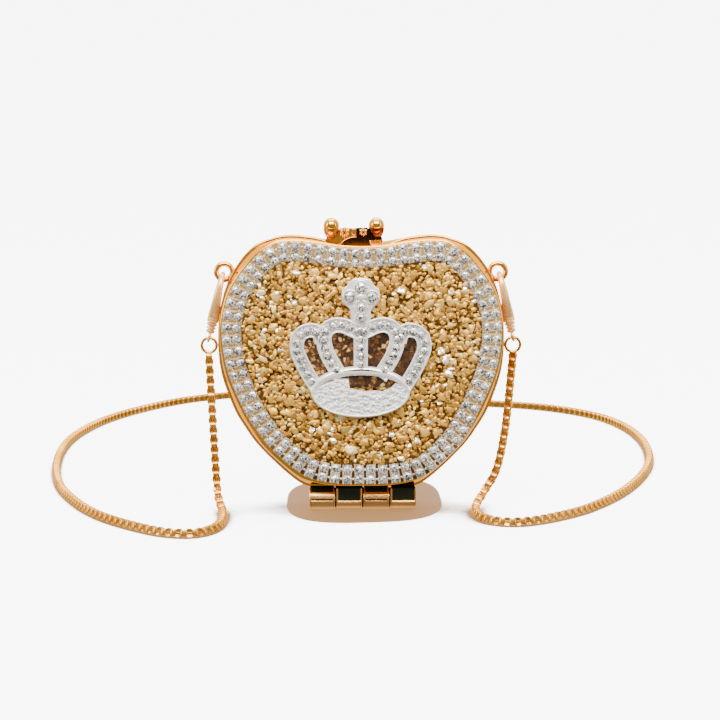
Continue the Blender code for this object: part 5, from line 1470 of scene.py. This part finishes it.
HINGE_START = -0.02381
KNUCKLE_STEP = 0.01235
KNUCKLE_LENGTH = 0.01181
BOX_FRONT = 0.00515
BOX_BACK_RADIUS = 0.0049
PANEL_TOP = 0.0048
PANEL_FOOT = -0.0005
PANEL_DEPTH = 0.0010
BOX_EDGE = 0.0004
BOX_EDGE_MIDDLE = 0.00012
ROUND_MARGIN = 0.0010
BOX_MARGIN = 0.0008
GROOVE_DEPTH = 0.0009
LIP_RISE = 0.00024
TAB_END = 0.0062
TAB_THICKNESS = 0.0016
INLAY_MARGIN = 0.00096
STRIP_MARGIN = 0.0009
STRIP_THICKNESS = 0.0004
WASHER_RADIUS = 0.0046
SHADE_FELT_FOOT = 0.0047
SHADE_FELT_TOP = 0.00558


def lofted(name, stations, material, body, node):
    """Sections across X, each a list of (y, z) about the pin, joined into one closed piece."""
    rings = []
    for x, section in stations:
        section = np.asarray(section)
        rings.append(np.stack([
            np.full(len(section), x), SEAM_Y + section[:, 0], PIN_Z + section[:, 1],
        ], axis=1))
    piece(name, *closed_skin(np.array(rings)), material, body, "gold", node, angle=30)


def polar(radius, start, end, count):
    """Points of an arc about the pin, between two angles in degrees."""
    angles = np.radians(np.linspace(start, end, count))
    return np.stack([radius * np.cos(angles), radius * np.sin(angles)], axis=1)


def along_knuckle(index, margin):
    """Places along a knuckle, with how far its ends are rounded in, and 1 where its hollow is cut."""
    start = HINGE_START + index * KNUCKLE_STEP
    end = start + KNUCKLE_LENGTH
    near = [
        (0.0, 0.00040, 0), (0.0001, 0.00018, 0), (0.0003, 0.00004, 0), (0.0005, 0.0, 0),
        (margin - 0.0001, 0.00005, 0), (margin, 0.00018, 0), (margin + 0.00008, 0.0, 1),
    ]
    return [(start + x, draw, hollow) for x, draw, hollow in near] + [
        (end - x, draw, hollow) for x, draw, hollow in reversed(near)
    ]


def add_round_knuckle(node, index):
    """A barrel with a groove along its front, and a tab behind it under the frame."""
    stations = []
    for x, draw, hollow in along_knuckle(index, ROUND_MARGIN):
        radius = BARREL_RADIUS - draw
        floor = -min(PIN_Z, radius * 0.94)
        flat = math.degrees(math.asin(-floor / BARREL_RADIUS))
        cut = radius - GROOVE_DEPTH * hollow
        front = np.concatenate([
            polar(radius, 90, 176, 26), polar(cut, 176.6, 183.4, 4), polar(radius, 184, 184.5, 2),
            polar(radius + LIP_RISE * hollow, 187.5, 190, 3), polar(radius, 193, 180 + flat, 20),
        ])
        under = BARREL_RADIUS - TAB_THICKNESS
        tab = math.degrees(math.asin(under / BARREL_RADIUS))
        back = polar(radius, -flat, tab, 24)
        stations.append((x, np.concatenate([
            back, [(TAB_END - draw, under + draw / 2), (TAB_END - draw, radius)], front,
        ])))
    lofted(f"hinge_barrel_{index + 1}", stations, HINGE_GOLD, "back_half", node)


def add_box_knuckle(node, index):
    """A square-fronted knuckle, round behind, with a sunk panel in its face. Each section has as many
    points as the next, so the hollow's wall is stepped where the full one has its corners."""
    stations = []
    for x, draw, hollow in along_knuckle(index, BOX_MARGIN):
        front = -(BOX_FRONT - draw)
        top = BARREL_RADIUS - draw
        inner = front + PANEL_DEPTH * hollow
        if hollow:
            flat = [(0.0, PANEL_TOP), *[(inner, PANEL_TOP - 0.0001 * step) for step in range(5)]]
            flat.append((inner, PANEL_FOOT))
        else:
            flat = [
                (0.0, top), (front + BOX_EDGE, top), (front + BOX_EDGE_MIDDLE, top - BOX_EDGE_MIDDLE),
                (front, top - BOX_EDGE), (front, 0.0046), (front, 0.0044), (front, PANEL_FOOT),
            ]
        flat += [(front + 0.0004 * hollow, PANEL_FOOT), (front - 0.00005, -0.0011), (front, -0.0019)]
        round_part = polar(BOX_BACK_RADIUS - draw, 206, 445, 60)
        stations.append((x, np.concatenate([flat, round_part])))
    lofted(f"hinge_box_{index + 1}", stations, HINGE_GOLD, "front_half", node)


def add_inlay(node, index):
    """The dark panel in a square knuckle's face, which turns back over the knuckle's top."""
    start = HINGE_START + index * KNUCKLE_STEP
    front = -BOX_FRONT + 0.0002
    section = [
        (front, -0.0004), (front + 0.0009, -0.0004), (front + 0.0009, 0.0049), (0.0, 0.0049), (0.0, 0.0052),
        (front + 0.0002, 0.0052), (front, 0.0050),
    ]
    stations = [(start + INLAY_MARGIN, section), (start + KNUCKLE_LENGTH - INLAY_MARGIN, section)]
    lofted(f"hinge_panel_{index + 1}", stations, ENAMEL_AND_SHADE, "front_half", node)


def add_shade_strips(index):
    """Painted shade on a round knuckle, in dark enamel: a strip round its top and upper front, under the
    rim's shade, and a line in its groove.
    """
    start = HINGE_START + index * KNUCKLE_STEP
    for word, first, last, rise in (("strip", 86, 142, 0.00006), ("line", 176.7, 183.3, -0.00035)):
        outer = polar(BARREL_RADIUS + rise, first, last, 20)
        section = np.concatenate([outer, polar(BARREL_RADIUS + rise - STRIP_THICKNESS, last, first, 20)])
        stations = [(start + STRIP_MARGIN, section), (start + KNUCKLE_LENGTH - STRIP_MARGIN, section)]
        lofted(f"hinge_{word}_{index + 1}", stations, ENAMEL_AND_SHADE, "back_half", ())


def add_shade_felt(index, body, near, far, reach):
    """A strip of dark felt between a knuckle's top and the frame above it: painted shade under the frame."""
    start = HINGE_START + index * KNUCKLE_STEP
    section = [(near, SHADE_FELT_FOOT), (near, SHADE_FELT_TOP), (far, SHADE_FELT_TOP), (far, SHADE_FELT_FOOT)]
    stations = [(start - reach, section), (start + KNUCKLE_LENGTH + reach, section)]
    lofted(f"hinge_shade_felt_{index + 1}", stations, SHADE_FELT, body, ())


def add_washer(index):
    """A dark round spacer on the pin, between two knuckles; its matt dark felt is painted shade in the gap.
    """
    gap = KNUCKLE_STEP - KNUCKLE_LENGTH
    middle = HINGE_START + (index + 1) * KNUCKLE_STEP - gap / 2
    section = polar(WASHER_RADIUS, 0, 354, 60)
    stations = [(middle - gap * 0.48, section), (middle + gap * 0.48, section)]
    lofted(f"hinge_washer_{index + 1}", stations, SHADE_FELT, "back_half", ())


add_round_knuckle("hinge_knuckle_1", 0)
add_box_knuckle("hinge_knuckle_2", 1)
add_round_knuckle("hinge_knuckle_3", 2)
add_box_knuckle("hinge_knuckle_4", 3)
# painted shade: dark strips and groove lines on the round knuckles
add_shade_strips(0)
add_shade_strips(2)
# painted shade: matt dark spacers in the gaps between knuckles
for gap in range(3):
    add_washer(gap)
# painted shade: dark felt over the knuckles' tops, under the frame
for knuckle in (0, 2):
    add_shade_felt(knuckle, "back_half", 0.0005, 0.0058, -0.0003)
add_shade_felt(1, "front_half", -0.0048, -0.0004, 0.0003)
add_shade_felt(3, "front_half", -0.0048, -0.0004, -0.0006)
add_inlay("hinge_inlay_1", 1)
add_inlay("hinge_inlay_2", 3)


# Strap fittings

LOOP_X = 0.0618513
LOOP_Z = 0.1086966
LOOP_RADIUS = 0.0036
LOOP_WIRE = 0.0012
CLAW_X = 0.0622513
CLAW_TILT_DEG = 12.69455


def ring_path(centre, radius, first, second, steps=72):
    """A circle about a centre, in the plane of two directions."""
    turn = full_turn(steps)
    return (
        np.array(centre) + radius * np.cos(turn)[:, None] * np.array(first)
        + radius * np.sin(turn)[:, None] * np.array(second)
    )


def claw_frame(side):
    """The claw's own directions: its top, across its thickness, its breadth and up its length."""
    tilt = side * math.radians(CLAW_TILT_DEG)
    top = np.array([side * CLAW_X, STRAP_Y, LOOP_Z])
    up = np.array([-math.sin(tilt), 0.0, math.cos(tilt)])
    across = np.array([math.cos(tilt), 0.0, math.sin(tilt)])
    return top, across, np.array([0.0, 1.0, 0.0]), up


def on_claw(side, points):
    """Points in the claw's own directions, as places beside the case."""
    top, across, breadth, up = claw_frame(side)
    points = np.asarray(points)
    return top + points[..., :1] * across + points[..., 1:2] * breadth + points[..., 2:3] * up


HOOK = (
    (0.72, -0.188, 0.80), (0.42, -0.080, 0.90), (0.0, -0.050, 1.0), (-0.54, -0.092, 1.05),
    (-0.90, -0.205, 1.10), (-1.0, -0.375, 1.15), (-0.88, -0.54, 1.25), (-0.50, -0.70, 1.45),
    (-0.12, -0.83, 1.60), (0.0, -0.93, 1.60),
)
GATE = (
    (0.67, -0.236), (0.90, -0.248), (1.02, -0.354), (0.98, -0.50), (1.31, -0.583), (1.35, -0.65),
    (1.02, -0.683), (0.80, -0.725), (0.49, -0.746), (0.245, -0.717), (0.184, -0.667),
    (0.327, -0.60), (0.57, -0.525), (0.71, -0.375),
)
CLAW_BREADTH = 0.0049
CLAW_LENGTH = 0.0249
CLAW_WIRE = 0.0012
HOOK_TIP_SHARES = (0.35, 0.75, 0.95)
HOOK_FLATNESS = 1.12
HOOK_SWELL = 0.35
CHEEK_Z = -0.0174
CHEEK_RADIUS = 0.0040
CHEEK_HALF_DEPTH = 0.0023
CHEEK_START = 0.00085
CHEEK_END = 0.00228
COLLAR_PROFILE = (
    (-0.0284, 0.0012), (-0.0283, 0.0017), (-0.0278, 0.0020), (-0.0272, 0.0020), (-0.0270, 0.0015),
    (-0.0266, 0.0015), (-0.0264, 0.0021), (-0.0257, 0.0021), (-0.0255, 0.0016), (-0.0251, 0.0016),
    (-0.0249, 0.0022), (-0.0245, 0.0024), (-0.0240, 0.0024), (-0.0238, 0.0018), (-0.0235, 0.0018),
    (-0.0233, 0.0025), (-0.0228, 0.0025), (-0.0226, 0.0019), (-0.0223, 0.0019), (-0.0221, 0.0026),
    (-0.0216, 0.0026), (-0.0213, 0.0021), (-0.0204, 0.0021),
)
PIN_PLACE = (0.0, 0.0024, -0.0169)
PIN_PROFILE = (
    (-0.00155, 0.0002), (-0.0015, 0.00045), (-0.0013, 0.0005), (0.0013, 0.0005), (0.0015, 0.00045),
    (0.00155, 0.0002),
)
GATE_STEPS = 80
GATE_THICKNESS = 0.0011
GATE_EDGE = 0.0003
EYE_Z = -0.0303
EYE_RADIUS = 0.0019
EYE_WIRE = 0.00065
STEM_PROFILE = (
    (-0.0286, 0.0009), (-0.0281, 0.0010), (-0.0255, 0.0010), (-0.0253, 0.0015), (-0.0251, 0.0015),
    (-0.0230, 0.0010),
)
JUMP_RING_SHOWN_WIRE = 1.5 * RING_WIRE


def add_loop(word, side):
    """The ring on the frame that the claw hooks into."""
    ring = ring_path((side * LOOP_X, STRAP_Y, LOOP_Z), LOOP_RADIUS, (1, 0, 0), (0, 0, 1))
    wire = tube(ring, LOOP_WIRE, closed=True)
    piece("loop_" + word, *wire, GOLD, "back_half", "gold", "strap_loop_" + word, angle=80)


def add_jump_ring(word, side):
    """The ring between the claw's eye and the chain."""
    ring = ring_path((side * RING_X, STRAP_Y, RING_Z), RING_RADIUS, (1, 0, 0), (0, 0, 1))
    wire = tube(ring, JUMP_RING_SHOWN_WIRE, 12, closed=True)
    piece("ring_" + word, *wire, LOCK_GOLD, "back_half", "gold", "jump_ring_" + word, angle=80)


def add_swivel(word, side):
    """The eye that hangs from the claw, and its stem inside the collar."""
    _, across, breadth, up = claw_frame(side)
    eye = ring_path(on_claw(side, (0.0, 0.0, EYE_Z)), EYE_RADIUS, breadth, up, 48)
    stem = turned(STEM_PROFILE, on_claw(side, (0.0, 0.0, 0.0)), up, sides=24)
    swivel = joined([tube(eye, EYE_WIRE, 14, across, closed=True), stem])
    piece("eye_" + word, *swivel, ROSE_GOLD, "back_half", "rose_gold", "swivel_" + word, angle=60)


def add_claw(word, side):
    """A lobster claw: a tapering oval hook, two cheeks as slices of a flat ball, a turned collar, and
    the gate's pin."""
    body = "claw_" + word
    knots = smooth_path([(v * CLAW_BREADTH, w * CLAW_LENGTH, share * CLAW_WIRE) for v, w, share in HOOK], 70)
    path = on_claw(side, np.column_stack([np.zeros(len(knots)), knots[:, 0], knots[:, 1]]))
    _, across, _, up = claw_frame(side)
    radius = knots[:, 2].copy()
    radius[:len(HOOK_TIP_SHARES)] *= HOOK_TIP_SHARES
    wider = 1.0 + HOOK_SWELL * np.clip((-0.10 - knots[:, 1] / CLAW_LENGTH) / 0.3, 0.0, 1.0)
    parts = [tube(path, radius * wider, 20, across, breadth=radius * HOOK_FLATNESS)]
    heights = np.linspace(CHEEK_START, CHEEK_END, 10)
    cheek = [(CHEEK_START, 0.0004)]
    cheek += [(h, CHEEK_RADIUS * math.sqrt(max(1 - (h / CHEEK_HALF_DEPTH) ** 2, 0.0))) for h in heights]
    for hand in (-1, 1):
        parts.append(turned(cheek, on_claw(side, (0.0, 0.0, CHEEK_Z)), across * hand, sides=32))
    parts.append(turned(COLLAR_PROFILE, on_claw(side, (0.0, 0.0, 0.0)), up, sides=32))
    piece("claw_cast_" + word, *joined(parts), ROSE_GOLD, body, "rose_gold", "claw_" + word, angle=50)
    pin = turned(PIN_PROFILE, on_claw(side, PIN_PLACE), across, sides=16)
    piece("claw_pin_" + word, *pin, GOLD, body, "rose_gold", "gate_pin_" + word, angle=50)


def add_gate(word, side):
    """The sprung gate: a cut plate with a ribbed thumb tab, made flat and turned into the claw."""
    outline = smooth_path(np.array(GATE) * (CLAW_BREADTH, CLAW_LENGTH), GATE_STEPS, closed=True)
    rings, _ = rounded_plate(outline, 0.0, GATE_THICKNESS, GATE_EDGE, 2)
    rings = rings.reshape(-1, GATE_STEPS, 3)
    gate = closed_skin(on_claw(side, np.stack([rings[..., 1], rings[..., 0], rings[..., 2]], axis=-1)))
    piece("claw_gate_" + word, *gate, ROSE_GOLD, "gate_" + word, "rose_gold", "gate_" + word, angle=50)


for side_word, side_sign in (("left", -1), ("right", 1)):
    add_loop(side_word, side_sign)
    add_claw(side_word, side_sign)
    add_gate(side_word, side_sign)
    add_swivel(side_word, side_sign)
    add_jump_ring(side_word, side_sign)
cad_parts["hinge_pin"].data.materials[0] = GOLD


# Floor and light

STAGE_RADIUS = 3.4
STAGE_CURVE = 1.6
STAGE_TOP = 6.0
STAGE_SIDES = 72
STAGE_GLOW = 7.4
SHADE_REACH = 0.05
SHADE_CENTRE = (0.0018, 0.0215)
SHADE_RADII = (0.0362, 0.0515)
SHADE_SLANT = 0.10
SHADE_POWER = 3.0
LIT_PAPER = (0.25, 0.25, 0.25)
LIT_GLOW = (1.0, 0.998, 0.992)
SHADED_PAPER = (0.05, 0.025, 0.010)
SHADED_GLOW = (0.076, 0.0365, 0.0115)
AIM = (0.0, 0.0, 0.07)


def stage_finish():
    """White paper under full light. It turns a soft brown where something close overhead shades it,
    and under the case: there the shade is a superellipse, a sum of two coordinates to the power 3."""
    finish = Finish("stage_paper", Roughness=0.8, Emission_Strength=STAGE_GLOW)
    open_share = finish.node("AmbientOcclusion", {"samples": 16}, {"Distance": SHADE_REACH}, 1)
    where = finish.place()
    across, depth = (finish.node("SeparateXYZ", {}, {"Vector": where}, axis) for axis in (0, 1))
    reach = sum(
        ((value - middle) / radius).maths("ABSOLUTE").power(SHADE_POWER)
        for value, middle, radius in zip((across, depth - SHADE_SLANT * across), SHADE_CENTRE, SHADE_RADII)
    )
    lit = open_share.above(0.66, 0.03) * reach.above(1.0, 0.03)
    finish.set(
        Base_Color=finish.mix(lit, SHADED_PAPER, LIT_PAPER),
        Emission_Color=finish.mix(lit, SHADED_GLOW, LIT_GLOW),
    )
    return finish.material


def add_stage():
    """A round floor that rises into a wall on all sides: flat, a quarter circle, then upright."""
    angles = np.linspace(0.0, math.pi / 2, 20)
    profile = [(0.0002, 0.0), (0.3, 0.0), (1.0, 0.0), (2.0, 0.0)]
    profile += [
        (STAGE_RADIUS + STAGE_CURVE * math.sin(a), STAGE_CURVE - STAGE_CURVE * math.cos(a)) for a in angles
    ]
    profile = np.array(profile + [(STAGE_RADIUS + STAGE_CURVE, STAGE_TOP)])
    turn = full_turn(STAGE_SIDES)
    heights = np.broadcast_to(profile[:, 1:], (len(profile), STAGE_SIDES))
    points = np.stack([profile[:, :1] * np.cos(turn), profile[:, :1] * np.sin(turn), heights], axis=-1)
    mesh = bpy.data.meshes.new("stage")
    mesh.from_pydata(points.reshape(-1, 3).tolist(), [], quads(len(profile), STAGE_SIDES).tolist())
    mesh.shade_smooth()
    mesh.materials.append(stage_finish())
    stage = bpy.data.objects.new("stage", mesh)
    bpy.context.scene.collection.objects.link(stage)
    stage.visible_glossy = False
    stage.visible_diffuse = False
    stage.visible_shadow = False


def add_softbox(name, centre, size, radiance, colour=(1.0, 1.0, 1.0)):
    """A rectangular lamp that faces the case, with the given radiance whatever its size."""
    data = bpy.data.lights.new(name, "AREA")
    data.shape = "RECTANGLE"
    data.size, data.size_y = size
    data.energy = radiance * math.pi * size[0] * size[1]
    data.color = colour
    lamp = bpy.data.objects.new(name, data)
    lamp.location = centre
    lamp.rotation_euler = (Vector(AIM) - Vector(centre)).to_track_quat("-Z", "Y").to_euler()
    bpy.context.scene.collection.objects.link(lamp)


def add_world():
    """Surroundings that polished metal mirrors: dim in front, bright behind and overhead."""
    world = bpy.data.worlds.new("studio")
    world.use_nodes = True
    nodes = Nodes(world.node_tree)
    heading = nodes.node("TexCoord")
    back = nodes.node("SeparateXYZ", {}, {"Vector": heading}, 1)
    up = nodes.node("SeparateXYZ", {}, {"Vector": heading}, 2)
    level = 0.48 + 1.7 * back.above(0.25, 0.45) + 1.0 * up.above(0.55, 0.25)
    level = level * (1.0 - 0.35 * (0.0 - up).above(0.35, 0.25))
    background = world.node_tree.nodes["Background"]
    background.inputs["Color"].default_value = (1.0, 0.985, 0.965, 1.0)
    world.node_tree.links.new(level.socket, background.inputs["Strength"])
    bpy.context.scene.world = world


add_stage()
add_world()
add_softbox("front_softbox", (0.0, -1.0, 1.15), (1.6, 0.8), 15.0, (1.0, 0.985, 0.96))
add_softbox("top_softbox", (0.0, 0.35, 1.4), (1.2, 0.8), 8.0)
add_softbox("left_softbox", (-1.3, -0.45, 0.5), (0.45, 0.9), 8.0)
add_softbox("right_softbox", (1.3, -0.55, 0.5), (0.35, 0.9), 6.0)
